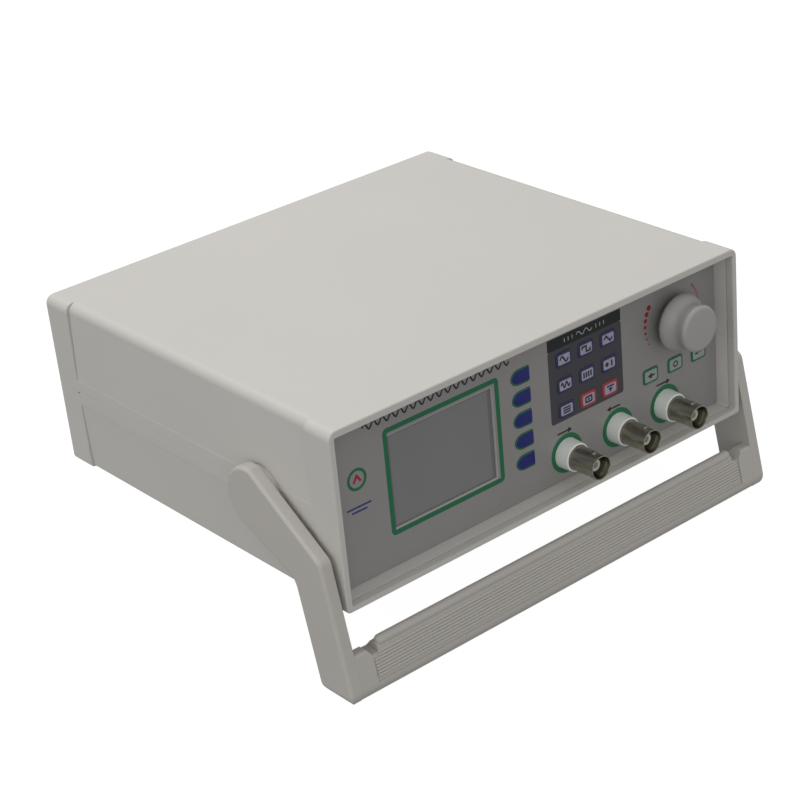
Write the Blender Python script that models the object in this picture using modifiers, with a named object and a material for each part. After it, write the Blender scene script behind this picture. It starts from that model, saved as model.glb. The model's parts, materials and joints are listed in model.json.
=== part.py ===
"""Bench function generator on its tilting handle.

The case is modelled level, with x = 0 on its centre plane, y = 0 on its front rim and z = 0 under
its floor. One empty carries all of it and leans it back, so that it stands on the crossbar of its
handle and on its two rear feet.
"""

import math

import bmesh
import bpy
from mathutils import Matrix, Vector

# ---------------------------------------------------------------- driving dimensions, in metres
GAP = 0.0003
STAND_TILT = math.radians(10.65)

CASE_WIDTH = 0.200
CASE_DEPTH = 0.176
CASE_HEIGHT = 0.070
CASE_CORNER = 0.0045
PARTING_Z = 0.0335
BEYOND = 0.002

SIDE_RECESS = 0.0011
RECESS_FRONT_Y = 0.014
RECESS_REAR_Y = 0.163
BELT_LOW_Z = 0.028
BELT_HIGH_Z = 0.0387

RIM = 0.0025
RIM_LOW_Z = 0.0023
RIM_HIGH_Z = 0.0679
RIM_STRAIGHT_DEPTH = 0.0032
PANEL_Y = 0.0083
OPENING_HALF_WIDTH = 0.096
OPENING_LOW_Z = 0.0033
OPENING_HIGH_Z = 0.067

OVERLAY_THICKNESS = 0.0005
PLATE_THICKNESS = 0.002
PLATE_GROOVE = 0.0012
PLATE_Y = PANEL_Y + OVERLAY_THICKNESS + GAP
REAR_PLATE_Y = 0.171

WINDOW_X = (-0.0694, -0.0203)
WINDOW_Z = (0.0177, 0.0549)
WINDOW_RECESS = 0.0004
WINDOW_THICKNESS = 0.001
DISPLAY_MODULE_X = (-0.0745, -0.0155)
DISPLAY_MODULE_Z = (0.0110, 0.0600)
DISPLAY_MODULE_THICKNESS = 0.0036

SOFTKEY_X = -0.00645
SOFTKEY_SIZE = (0.0095, 0.0063)
SOFTKEY_TOP_Z = 0.0538
SOFTKEY_PITCH = 0.00868
SOFTKEYS = 5

KEYPAD_X = (0.0151, 0.0264, 0.0378)
KEYPAD_Z = (0.0529, 0.0424, 0.0321)
KEYPAD_SIZE = (0.0079, 0.0059)

ARROW_KEYS = (("arrow_left_key", 0.0595), ("confirm_key", 0.0730), ("arrow_right_key", 0.0860))
ARROW_KEY_Z = 0.0291
ARROW_KEY_SIZE = (0.0081, 0.0062)

KEY_PROUD = 0.0003
KEY_FLANGE = 0.0008
KEY_CORNER = 0.0009
KEY_TRAVEL = 0.0004

KNOB_X, KNOB_Z = 0.0723, 0.0482
KNOB_SKIRT_RADIUS = 0.0115
KNOB_WAIST_RADIUS = 0.0079
KNOB_CAP_RADIUS = 0.0089
KNOB_FRONT_Y = -0.0068
KNOB_REAR_Y = 0.0052
SHAFT_RADIUS = 0.003
BUSHING_RADIUS = 0.0044
ENCODER_BODY = (0.0124, 0.0124)
ENCODER_DEPTH = 0.0065
ENCODER_ROOM = (0.0135, 0.0135)
ENCODER_NUT_RADIUS = 0.0063

BNC_X = (0.0141, 0.0409, 0.0667)
BNC_Z = 0.0142
BNC_RADIUS = 0.0048
BNC_BORE = 0.00415
BNC_FRONT_Y = -0.010
BNC_REAR_Y = 0.017
BNC_NUT_RADIUS = 0.006
BNC_NUT_LENGTH = 0.0031
BNC_CUP_DEPTH = 0.0115
BNC_INSULATOR_BORE = 0.0026
BNC_LUG_RADIUS = 0.001
BNC_LUG_SETBACK = 0.0027
BNC_BOARD_HOLE_RADIUS = 0.0066
COLLAR_RADIUS = 0.0066
COLLAR_CHAMFER = 0.001
COLLAR_FRONT_Y = 0.002

FOOT_HEIGHT = 0.0025
FOOT_RADIUS = 0.006
FOOT_CHAMFER = 0.0004
FEET = (
    ("front_left_foot", -0.082, 0.020),
    ("front_right_foot", 0.082, 0.020),
    ("rear_left_foot", -0.082, 0.159),
    ("rear_right_foot", 0.082, 0.159),
)

POST_RADIUS = 0.0045
SCREW_RADIUS = 0.0015
SCREW_TIP_Z = 0.0445
SCREW_PILOT_Z = 0.0480
SCREW_HEAD_RADIUS = 0.0029
SCREW_HEAD_LOW_Z = 0.0014
SCREW_HEAD_HIGH_Z = 0.0037
SCREW_DOME = 0.0008
SCREW_FLAT_RADIUS = 0.0020
SCREWS = (
    ("front_left_case_screw", -0.080, 0.036),
    ("front_right_case_screw", 0.080, 0.036),
    ("rear_left_case_screw", -0.080, 0.137),
    ("rear_right_case_screw", 0.080, 0.137),
)

PIVOT_Y, PIVOT_Z = 0.0425, 0.033
HUB_RADIUS = 0.0125
HUB_NECK_RADIUS = 0.006
HUB_FLANGE_RADIUS = 0.0085
HUB_FLANGE_THICKNESS = 0.0027
ARM_INNER_X = 0.1019
ARM_OUTER_X = 0.1066
ARM_SKIN = 0.0013
ARM_ROUND_START = math.radians(101)
ARM_ROUND_END = math.radians(-65)

LEG_FRONT_TOP = (0.0040, 0.0217)
LEG_FRONT_SLOPE = 0.208
LEG_REAR_KNEE = (0.0203, 0.0096)
LEG_HEEL_Y = 0.0117
CROSSBAR_DEPTH = 0.0085
CROSSBAR_TOP_Z = -0.0150
CROSSBAR_TOP_DEPTH = 0.0052
CROSSBAR_SHOULDER_Z = -0.0185
GRIP_HALF_LENGTH = 0.0941
GRIP_LOW_Z = -0.0276
GRIP_THICKNESS = 0.0016
GRIP_BEAD_RADIUS = 0.0019
GRIP_BEAD_Z = -0.0143

INLET_X, INLET_Z = 0.060, 0.036
INLET_BODY = (0.0270, 0.0196)
INLET_BEZEL = (0.0310, 0.0236)
INLET_MOUTH = (0.0234, 0.0160)
ROCKER_X, ROCKER_Z = 0.022, 0.036
ROCKER_BODY = (0.0130, 0.0192)
ROCKER_BEZEL = (0.0160, 0.0232)
ROCKER_WELL = (0.0106, 0.0172)
ROCKER_PIVOT_Y = 0.1708
ROCKER_SWING = math.radians(12.0)

VENT_X = -0.046
VENT_SIZE = (0.036, 0.0022)
VENT_PITCH = 0.0045
VENTS = 7
BEZEL_THICKNESS = 0.0020
BEZEL_CORNER = 0.0015
BEZEL_Y = REAR_PLATE_Y + PLATE_THICKNESS + GAP

BOARD_THICKNESS = 0.0016
BOARD_Z = 0.0080
STANDOFF_RADIUS = 0.003
BOARD_STANDOFFS = (
    (-0.070, 0.066),
    (-0.014, 0.066),
    (-0.070, 0.160),
    (-0.014, 0.160),
    (0.068, 0.034),
    (0.068, 0.160),
)

# ---------------------------------------------------------------- collections and finishes
for stale in list(bpy.data.objects):
    bpy.data.objects.remove(stale, do_unlink=True)

PARTS = bpy.data.collections.new("function_generator")
TOOLS = bpy.data.collections.new("cutters")
bpy.context.scene.collection.children.link(PARTS)
bpy.context.scene.collection.children.link(TOOLS)


def finish(name, colour, roughness, metallic=0.0):
    """A Principled material of one colour."""
    made = bpy.data.materials.new(name)
    made.use_nodes = True
    shader = made.node_tree.nodes["Principled BSDF"]
    shader.inputs["Base Color"].default_value = (*colour, 1.0)
    shader.inputs["Roughness"].default_value = roughness
    shader.inputs["Metallic"].default_value = metallic
    return made


CASE_PLASTIC = finish("case_plastic", (0.60, 0.58, 0.54), 0.55)
PANEL_FILM = finish("panel_film", (0.26, 0.26, 0.25), 0.45)
PANEL_PLATE = finish("panel_plate", (0.45, 0.45, 0.45), 0.5)
WINDOW_PLASTIC = finish("window_plastic", (0.10, 0.10, 0.10), 0.15)
BLUE_KEY = finish("blue_key", (0.03, 0.05, 0.25), 0.4)
LAVENDER_KEY = finish("lavender_key", (0.35, 0.34, 0.42), 0.45)
GREEN_KEY = finish("green_key", (0.30, 0.33, 0.32), 0.45)
KNOB_PLASTIC = finish("knob_plastic", (0.38, 0.37, 0.35), 0.45)
WHITE_PLASTIC = finish("white_plastic", (0.75, 0.75, 0.73), 0.4)
BLACK_PLASTIC = finish("black_plastic", (0.02, 0.02, 0.02), 0.45)
NICKEL = finish("nickel", (0.55, 0.52, 0.46), 0.25, 1.0)
BRASS = finish("brass", (0.70, 0.52, 0.25), 0.3, 1.0)
STEEL = finish("steel", (0.50, 0.50, 0.50), 0.35, 1.0)
ALUMINIUM = finish("aluminium", (0.65, 0.65, 0.66), 0.4, 1.0)
CIRCUIT_BOARD = finish("circuit_board", (0.02, 0.16, 0.06), 0.5)
RUBBER = finish("rubber", (0.03, 0.03, 0.03), 0.85)

CASE_FRAME = bpy.data.objects.new("case_frame", None)
PARTS.objects.link(CASE_FRAME)
HANDLE_PIVOT = bpy.data.objects.new("handle_pivot", None)
HANDLE_PIVOT.parent = CASE_FRAME
HANDLE_PIVOT.location = (0, PIVOT_Y, PIVOT_Z)
PARTS.objects.link(HANDLE_PIVOT)

TOWARDS_FRONT = (math.pi / 2, 0, 0)
OUTLINE_IN_YZ = (math.pi / 2, 0, math.pi / 2)


# ---------------------------------------------------------------- shape helpers
def add(name, mesh, material, where=(0, 0, 0), turn=(0, 0, 0), parent=CASE_FRAME, cutter=False):
    """Places a mesh as one named object, or as a hidden cutter."""
    made = bpy.data.objects.new(name, mesh)
    made.location = where
    made.rotation_euler = turn
    made.parent = parent
    if cutter:
        made.hide_render = True
        made.display_type = "WIRE"
        TOOLS.objects.link(made)
    else:
        made.data.materials.append(material)
        PARTS.objects.link(made)
    return made


def tool(name, mesh, where=(0, 0, 0), turn=(0, 0, 0), parent=CASE_FRAME):
    """A hidden object that another one is cut with or joined to."""
    return add(name, mesh, None, where, turn, parent, cutter=True)


def boolean(target, other, operation="DIFFERENCE"):
    step = target.modifiers.new(other.name, "BOOLEAN")
    step.object = other
    step.operation = operation
    step.solver = "EXACT"


def mesh_of(bm, name):
    """Turns a bmesh into a mesh and frees it."""
    mesh = bpy.data.meshes.new(name)
    bm.to_mesh(mesh)
    bm.free()
    return mesh


def box_into(bm, low, high):
    """Adds a closed box between two corners."""
    low, high = Vector(low), Vector(high)
    place = Matrix.Translation((low + high) / 2) @ Matrix.Diagonal((*(high - low), 1))
    return bmesh.ops.create_cube(bm, size=1, matrix=place)["verts"]


def rod_into(bm, start, end, radius, segments=20):
    """Adds a closed cylinder between two points."""
    start, end = Vector(start), Vector(end)
    along = end - start
    turn = along.to_track_quat("Z", "Y").to_matrix().to_4x4()
    bmesh.ops.create_cone(
        bm,
        cap_ends=True,
        segments=segments,
        radius1=radius,
        radius2=radius,
        depth=along.length,
        matrix=Matrix.Translation((start + end) / 2) @ turn,
    )


def box_mesh(name, low, high, corner=0.0, axis=1, steps=3):
    """A box whose edges along one axis are rounded."""
    bm = bmesh.new()
    box_into(bm, low, high)
    if corner:
        along = [e for e in bm.edges if abs((e.verts[0].co - e.verts[1].co)[axis]) > 1e-6]
        bmesh.ops.bevel(bm, geom=along, offset=corner, segments=steps, profile=0.5, affect="EDGES")
    return mesh_of(bm, name)


def boxes_mesh(name, corners):
    """Separate boxes in one mesh, for a cutter."""
    bm = bmesh.new()
    for low, high in corners:
        box_into(bm, low, high)
    return mesh_of(bm, name)


def rods_mesh(name, rods, segments=20):
    """Separate cylinders in one mesh, for a cutter."""
    bm = bmesh.new()
    for start, end, radius in rods:
        rod_into(bm, start, end, radius, segments)
    return mesh_of(bm, name)


def turned(name, profile, material, where, turn, closed=False, parent=CASE_FRAME, steps=28):
    """A profile of (radius, height) points, from the top down its outer side, turned about local Z."""
    edges = [(i, i + 1) for i in range(len(profile) - 1)]
    if closed:
        edges.append((len(profile) - 1, 0))
    mesh = bpy.data.meshes.new(name)
    mesh.from_pydata([(radius, 0, height) for radius, height in profile], edges, [])
    made = add(name, mesh, material, where, turn, parent)
    screw = made.modifiers.new("turn", "SCREW")
    screw.angle = 2 * math.pi
    screw.steps = steps
    screw.render_steps = steps
    screw.use_merge_vertices = True
    screw.merge_threshold = 0.00001
    return made


def rounded_outline(corners, steps=5):
    """Points of a closed outline whose corners, given as (x, y, radius), are rounded off with arcs."""
    points = []
    for i, (x, y, radius) in enumerate(corners):
        here = Vector((x, y))
        if not radius:
            points.append(here)
            continue
        before = (Vector(corners[i - 1][:2]) - here).normalized()
        after = (Vector(corners[(i + 1) % len(corners)][:2]) - here).normalized()
        half = before.angle(after) / 2
        centre = here + (before + after).normalized() * radius / math.sin(half)
        first = here + before * radius / math.tan(half) - centre
        sweep = math.pi - 2 * half
        if before.x * after.y - before.y * after.x > 0:
            sweep = -sweep
        for k in range(steps + 1):
            points.append(centre + Matrix.Rotation(sweep * k / steps, 2) @ first)
    return points


def prism_mesh(name, outline, depth):
    """A filled outline in local XY, thickened by depth about its plane."""
    curve = bpy.data.curves.new(name, "CURVE")
    curve.dimensions = "2D"
    curve.fill_mode = "BOTH"
    curve.extrude = depth / 2
    spline = curve.splines.new("POLY")
    spline.points.add(len(outline) - 1)
    for point, place in zip(spline.points, outline):
        point.co = (place[0], place[1], 0, 1)
    spline.use_cyclic_u = True
    flat = bpy.data.objects.new(name, curve)
    TOOLS.objects.link(flat)
    bpy.context.view_layer.update()
    mesh = bpy.data.meshes.new_from_object(flat.evaluated_get(bpy.context.evaluated_depsgraph_get()))
    bpy.data.objects.remove(flat, do_unlink=True)
    bm = bmesh.new()
    bm.from_mesh(mesh)
    bmesh.ops.remove_doubles(bm, verts=bm.verts, dist=0.000001)
    bmesh.ops.recalc_face_normals(bm, faces=bm.faces)
    bm.to_mesh(mesh)
    bm.free()
    return mesh


def centred(x, z, size, grow=0.0):
    """The x and z ranges of a rectangle about a centre, grown on every side."""
    half_x, half_z = size[0] / 2 + grow, size[1] / 2 + grow
    return (x - half_x, x + half_x), (z - half_z, z + half_z)


def slab(x_range, z_range, y_low, y_high):
    """Two opposite corners of a box that faces the front."""
    return (x_range[0], y_low, z_range[0]), (x_range[1], y_high, z_range[1])


# ---------------------------------------------------------------- case
def cover_blank(name, low_z, high_z, rounded_top):
    """Half of the case as a solid block with its two long outer corners rounded."""
    half = CASE_WIDTH / 2
    top_corner = CASE_CORNER if rounded_top else 0
    low_corner = 0 if rounded_top else CASE_CORNER
    corners = [
        (-half, low_z, low_corner),
        (half, low_z, low_corner),
        (half, high_z, top_corner),
        (-half, high_z, top_corner),
    ]
    mesh = prism_mesh(name, rounded_outline(corners), CASE_DEPTH)
    return add(name, mesh, CASE_PLASTIC, (0, CASE_DEPTH / 2, 0), TOWARDS_FRONT)


def case_cutters():
    """What both covers are cut with: the hollow, the rims, the panel grooves and the side recesses."""
    rim_half = CASE_WIDTH / 2 - RIM
    overlap = 0.0001
    opening_x = (-OPENING_HALF_WIDTH, OPENING_HALF_WIDTH)
    opening_z = (OPENING_LOW_Z, OPENING_HIGH_Z)
    hollow = boxes_mesh("hollow_cutter", [slab(opening_x, opening_z, PANEL_Y - overlap, CASE_DEPTH + BEYOND)])
    rim_x = (-rim_half, rim_half)
    rim_z = (RIM_LOW_Z, RIM_HIGH_Z)
    mouth = boxes_mesh("mouth_cutter", [slab(rim_x, rim_z, -BEYOND, RIM_STRAIGHT_DEPTH)])
    bm = bmesh.new()
    for corner in box_into(bm, *slab(rim_x, rim_z, RIM_STRAIGHT_DEPTH - overlap, PANEL_Y)):
        if corner.co.y > RIM_STRAIGHT_DEPTH:
            corner.co.x = math.copysign(OPENING_HALF_WIDTH, corner.co.x)
            corner.co.z = OPENING_LOW_Z if corner.co.z < PARTING_Z else OPENING_HIGH_Z
    flare = mesh_of(bm, "flare_cutter")
    groove_half = OPENING_HALF_WIDTH + PLATE_GROOVE
    groove_z = (OPENING_LOW_Z - PLATE_GROOVE, OPENING_HIGH_Z + PLATE_GROOVE)
    grooves = boxes_mesh(
        "groove_cutter",
        [
            slab((-groove_half, groove_half), groove_z, plate_y - GAP, plate_y + PLATE_THICKNESS + GAP)
            for plate_y in (PLATE_Y, REAR_PLATE_Y)
        ],
    )
    recess_x = CASE_WIDTH / 2 - SIDE_RECESS
    outside_x = CASE_WIDTH / 2 + BEYOND
    inside_x = OPENING_HALF_WIDTH - BEYOND
    sides, seats, bores = [], [], []
    for side in (-1, 1):
        for z_range in ((-BEYOND, BELT_LOW_Z), (BELT_HIGH_Z, CASE_HEIGHT + BEYOND)):
            x_range = sorted((side * recess_x, side * outside_x))
            sides.append(slab(x_range, z_range, RECESS_FRONT_Y, RECESS_REAR_Y))
        wall = (side * recess_x, PIVOT_Y, PIVOT_Z)
        seats.append((wall, (side * outside_x, PIVOT_Y, PIVOT_Z), HUB_RADIUS + GAP))
        bores.append(((side * inside_x, PIVOT_Y, PIVOT_Z), wall, HUB_NECK_RADIUS + GAP))
    return [
        tool("hollow_cutter", hollow),
        tool("mouth_cutter", mouth),
        tool("flare_cutter", flare),
        tool("groove_cutter", grooves),
        tool("side_cutter", boxes_mesh("side_cutter", sides)),
        tool("hub_seat_cutter", rods_mesh("hub_seat_cutter", seats, 40)),
        tool("hub_bore_cutter", rods_mesh("hub_bore_cutter", bores, 32)),
    ]


def case_covers():
    """The top and bottom covers, with the screw posts that join them."""
    cutters = case_cutters()
    top_low = PARTING_Z + GAP / 2
    bottom_high = PARTING_Z - GAP / 2
    top = cover_blank("top_cover", top_low, CASE_HEIGHT, True)
    bottom = cover_blank("bottom_cover", 0, bottom_high, False)
    for cover in (top, bottom):
        for cutter in cutters:
            boolean(cover, cutter)
    in_wall = 0.001
    places = [(x, y) for _, x, y in SCREWS]
    top_posts = [((x, y, top_low), (x, y, OPENING_HIGH_Z + in_wall), POST_RADIUS) for x, y in places]
    low_posts = [((x, y, OPENING_LOW_Z - in_wall), (x, y, bottom_high), POST_RADIUS) for x, y in places]
    boolean(top, tool("top_posts", rods_mesh("top_posts", top_posts, 16)), "UNION")
    boolean(bottom, tool("bottom_posts", rods_mesh("bottom_posts", low_posts, 18)), "UNION")
    floor_z, standoff_z = OPENING_LOW_Z - in_wall, BOARD_Z - GAP
    standoffs = [((x, y, floor_z), (x, y, standoff_z), STANDOFF_RADIUS) for x, y in BOARD_STANDOFFS]
    boolean(bottom, tool("board_standoffs", rods_mesh("board_standoffs", standoffs, 14)), "UNION")
    head_seat_z = SCREW_HEAD_HIGH_Z + GAP
    pilots = [((x, y, head_seat_z), (x, y, SCREW_PILOT_Z), SCREW_RADIUS + GAP) for x, y in places]
    heads = [((x, y, -BEYOND), (x, y, head_seat_z), SCREW_HEAD_RADIUS + GAP) for x, y in places]
    pilot_cutter = tool("pilot_cutter", rods_mesh("pilot_cutter", pilots, 12))
    boolean(top, pilot_cutter)
    boolean(bottom, pilot_cutter)
    boolean(bottom, tool("screw_head_cutter", rods_mesh("screw_head_cutter", heads, 16)))


def case_screws():
    """Screws that come up through the bottom cover into the posts of the top one."""
    for name, x, y in SCREWS:
        profile = [
            (0, SCREW_TIP_Z),
            (SCREW_RADIUS, SCREW_TIP_Z),
            (SCREW_RADIUS, SCREW_HEAD_HIGH_Z),
            (SCREW_HEAD_RADIUS, SCREW_HEAD_HIGH_Z),
            (SCREW_HEAD_RADIUS, SCREW_HEAD_LOW_Z + SCREW_DOME),
            (SCREW_FLAT_RADIUS, SCREW_HEAD_LOW_Z),
            (0, SCREW_HEAD_LOW_Z),
        ]
        turned(name, profile, STEEL, (x, y, 0), (0, 0, 0), steps=12)


def feet():
    """Round rubber pads under the floor."""
    for name, x, y in FEET:
        profile = [
            (0, -GAP),
            (FOOT_RADIUS, -GAP),
            (FOOT_RADIUS, -FOOT_HEIGHT + FOOT_CHAMFER),
            (FOOT_RADIUS - FOOT_CHAMFER, -FOOT_HEIGHT),
            (0, -FOOT_HEIGHT),
        ]
        turned(name, profile, RUBBER, (x, y, 0), (0, 0, 0), steps=24)


# ---------------------------------------------------------------- front panel
def key_places():
    """Every key as (name, x, z, size, material)."""
    places = []
    for i in range(SOFTKEYS):
        z = SOFTKEY_TOP_Z - i * SOFTKEY_PITCH
        places.append((f"softkey_{i + 1}", SOFTKEY_X, z, SOFTKEY_SIZE, BLUE_KEY))
    for row, z in enumerate(KEYPAD_Z):
        for column, x in enumerate(KEYPAD_X):
            name = f"function_key_{row * len(KEYPAD_X) + column + 1}"
            places.append((name, x, z, KEYPAD_SIZE, LAVENDER_KEY))
    for name, x in ARROW_KEYS:
        places.append((name, x, ARROW_KEY_Z, ARROW_KEY_SIZE, GREEN_KEY))
    return places


KEYS = key_places()
BEHIND_PLATE_Y = PLATE_Y + PLATE_THICKNESS + GAP
KEY_BACK_Y = BEHIND_PLATE_Y + KEY_FLANGE
DOME_FRONT_Y = KEY_BACK_Y + KEY_TRAVEL + 0.00015
SWITCH_BOARD_Y = KEY_BACK_Y + KEY_TRAVEL + 0.0006


PLATE_HALF_WIDTH = OPENING_HALF_WIDTH + PLATE_GROOVE - GAP
PLATE_EXTENT = (
    (-PLATE_HALF_WIDTH, PLATE_HALF_WIDTH),
    (OPENING_LOW_Z - PLATE_GROOVE + GAP, OPENING_HIGH_Z + PLATE_GROOVE - GAP),
)


def front_film_and_plate():
    """The printed film and the stiff plate behind it, with their openings."""
    half = OPENING_HALF_WIDTH - GAP
    film = add(
        "front_overlay",
        box_mesh(
            "front_overlay",
            (-half, PANEL_Y, OPENING_LOW_Z + GAP),
            (half, PANEL_Y + OVERLAY_THICKNESS, OPENING_HIGH_Z - GAP),
        ),
        PANEL_FILM,
    )
    plate_box = slab(*PLATE_EXTENT, PLATE_Y, PLATE_Y + PLATE_THICKNESS)
    plate = add("front_panel", boxes_mesh("front_panel", [plate_box]), PANEL_PLATE)
    front, back = PANEL_Y - 0.001, PLATE_Y + PLATE_THICKNESS + 0.001
    openings = [slab(WINDOW_X, WINDOW_Z, front, back)]
    for _, x, z, size, _ in KEYS:
        openings.append(slab(*centred(x, z, size, GAP), front, back))
    rods = [((x, front, BNC_Z), (x, back, BNC_Z), BNC_RADIUS + GAP) for x in BNC_X]
    rods.append(((KNOB_X, front, KNOB_Z), (KNOB_X, back, KNOB_Z), BUSHING_RADIUS + GAP))
    square = tool("panel_opening_cutter", boxes_mesh("panel_opening_cutter", openings))
    round_holes = tool("panel_hole_cutter", rods_mesh("panel_hole_cutter", rods))
    for sheet in (film, plate):
        boolean(sheet, square)
        boolean(sheet, round_holes)


def display():
    """The clear window and the display module behind it."""
    x_range = (WINDOW_X[0] + GAP, WINDOW_X[1] - GAP)
    z_range = (WINDOW_Z[0] + GAP, WINDOW_Z[1] - GAP)
    window_y = PANEL_Y + WINDOW_RECESS
    window = slab(x_range, z_range, window_y, window_y + WINDOW_THICKNESS)
    add("display_window", boxes_mesh("display_window", [window]), WINDOW_PLASTIC)
    module_back = BEHIND_PLATE_Y + DISPLAY_MODULE_THICKNESS
    module = slab(DISPLAY_MODULE_X, DISPLAY_MODULE_Z, BEHIND_PLATE_Y, module_back)
    add("display_module", boxes_mesh("display_module", [module]), STEEL)


def key_mesh(name, size):
    """A pad in front of a wider flange, both with rounded corners."""
    rings = []
    for grow, y in (
        (KEY_FLANGE, KEY_BACK_Y),
        (KEY_FLANGE, BEHIND_PLATE_Y),
        (0, BEHIND_PLATE_Y),
        (0, PANEL_Y - KEY_PROUD),
    ):
        (x_low, x_high), (z_low, z_high) = centred(0, 0, size, grow)
        corners = [(x_low, z_low), (x_high, z_low), (x_high, z_high), (x_low, z_high)]
        outline = rounded_outline([(*corner, KEY_CORNER) for corner in corners], 2)
        rings.append([(x, y, z) for x, z in outline])
    bm = bmesh.new()
    loops = [[bm.verts.new(point) for point in ring] for ring in rings]
    for back, front in zip(loops, loops[1:]):
        for i in range(len(back)):
            bm.faces.new((back[i - 1], back[i], front[i], front[i - 1]))
    bm.faces.new(loops[0])
    bm.faces.new(loops[-1])
    bmesh.ops.recalc_face_normals(bm, faces=bm.faces)
    return mesh_of(bm, name)


def keys():
    """Each key looks through the film, and the plate holds back its flange."""
    for name, x, z, size, material in KEYS:
        add(name, key_mesh(name, size), material, (x, 0, z))


def switch_board():
    """The board behind the keys: a dome switch stands on it under each key."""
    board_x, board_z = (-0.0145, 0.0935), (0.0050, 0.0650)
    board_mesh = boxes_mesh(
        "key_switch_board",
        [slab(board_x, board_z, SWITCH_BOARD_Y, SWITCH_BOARD_Y + BOARD_THICKNESS)],
    )
    board = add("key_switch_board", board_mesh, CIRCUIT_BOARD)
    front, back = SWITCH_BOARD_Y - BEYOND, SWITCH_BOARD_Y + BOARD_THICKNESS + BEYOND
    holes = [((x, front, BNC_Z), (x, back, BNC_Z), BNC_BOARD_HOLE_RADIUS) for x in BNC_X]
    boolean(board, tool("board_hole_cutter", rods_mesh("board_hole_cutter", holes)))
    room = slab(*centred(KNOB_X, KNOB_Z, ENCODER_ROOM), front, back)
    boolean(board, tool("encoder_room_cutter", boxes_mesh("encoder_room_cutter", [room])))
    dome_radius, dome_root_y = 0.0018, SWITCH_BOARD_Y + BOARD_THICKNESS / 3
    domes = [((x, DOME_FRONT_Y, z), (x, dome_root_y, z), dome_radius) for _, x, z, _, _ in KEYS]
    boolean(board, tool("dome_switches", rods_mesh("dome_switches", domes, 10)), "UNION")


def control_board():
    """The upright board behind the sockets that drives the display."""
    board_x, board_z, front = (-0.088, 0.088), (0.0060, 0.0640), 0.0190
    board = boxes_mesh("control_board", [slab(board_x, board_z, front, front + BOARD_THICKNESS)])
    add("control_board", board, CIRCUIT_BOARD)


def bnc_sockets():
    """Three coaxial sockets: a plastic collar, a nickel shell with two bayonet lugs, and a contact."""
    for i, x in enumerate(BNC_X):
        number = i + 1
        collar_length = PANEL_Y - GAP - COLLAR_FRONT_Y
        bore = BNC_RADIUS + GAP
        collar = [
            (bore, collar_length),
            (COLLAR_RADIUS - COLLAR_CHAMFER, collar_length),
            (COLLAR_RADIUS, collar_length - COLLAR_CHAMFER),
            (COLLAR_RADIUS, 0),
            (bore, 0),
        ]
        place = (x, PANEL_Y - GAP, BNC_Z)
        turned(f"bnc_collar_{number}", collar, WHITE_PLASTIC, place, TOWARDS_FRONT, closed=True)
        length = BNC_REAR_Y - BNC_FRONT_Y
        nut_high = BNC_REAR_Y - BEHIND_PLATE_Y
        nut_low = nut_high - BNC_NUT_LENGTH
        shell = [
            (BNC_BORE, length),
            (BNC_RADIUS, length),
            (BNC_RADIUS, nut_high),
            (BNC_NUT_RADIUS, nut_high),
            (BNC_NUT_RADIUS, nut_low),
            (BNC_RADIUS, nut_low),
            (BNC_RADIUS, 0),
            (BNC_INSULATOR_BORE, 0),
            (BNC_INSULATOR_BORE, length - BNC_CUP_DEPTH),
            (BNC_BORE, length - BNC_CUP_DEPTH),
        ]
        place = (x, BNC_REAR_Y, BNC_Z)
        barrel = turned(f"bnc_shell_{number}", shell, NICKEL, place, TOWARDS_FRONT, closed=True)
        lug_y = BNC_FRONT_Y + BNC_LUG_SETBACK
        lugs = []
        for side in (-1, 1):
            root = (x, lug_y, BNC_Z + side * (BNC_RADIUS - 0.0004))
            tip = (x, lug_y, BNC_Z + side * (BNC_RADIUS + 0.0010))
            lugs.append((root, tip, BNC_LUG_RADIUS))
        boolean(barrel, tool(f"bnc_lugs_{number}", rods_mesh(f"bnc_lugs_{number}", lugs, 10)), "UNION")
        contact_bore, contact_radius, contact_end = 0.0006, 0.0011, length - 0.0052
        insulator_radius, insulator_end, inner_end = BNC_INSULATOR_BORE - GAP, length - 0.0072, 0.0005
        contact = [
            (contact_bore, contact_end),
            (contact_radius, contact_end),
            (contact_radius, insulator_end),
            (insulator_radius, insulator_end),
            (insulator_radius, inner_end),
            (contact_bore, inner_end),
        ]
        turned(f"bnc_contact_{number}", contact, BRASS, place, TOWARDS_FRONT, closed=True, steps=20)


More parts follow.
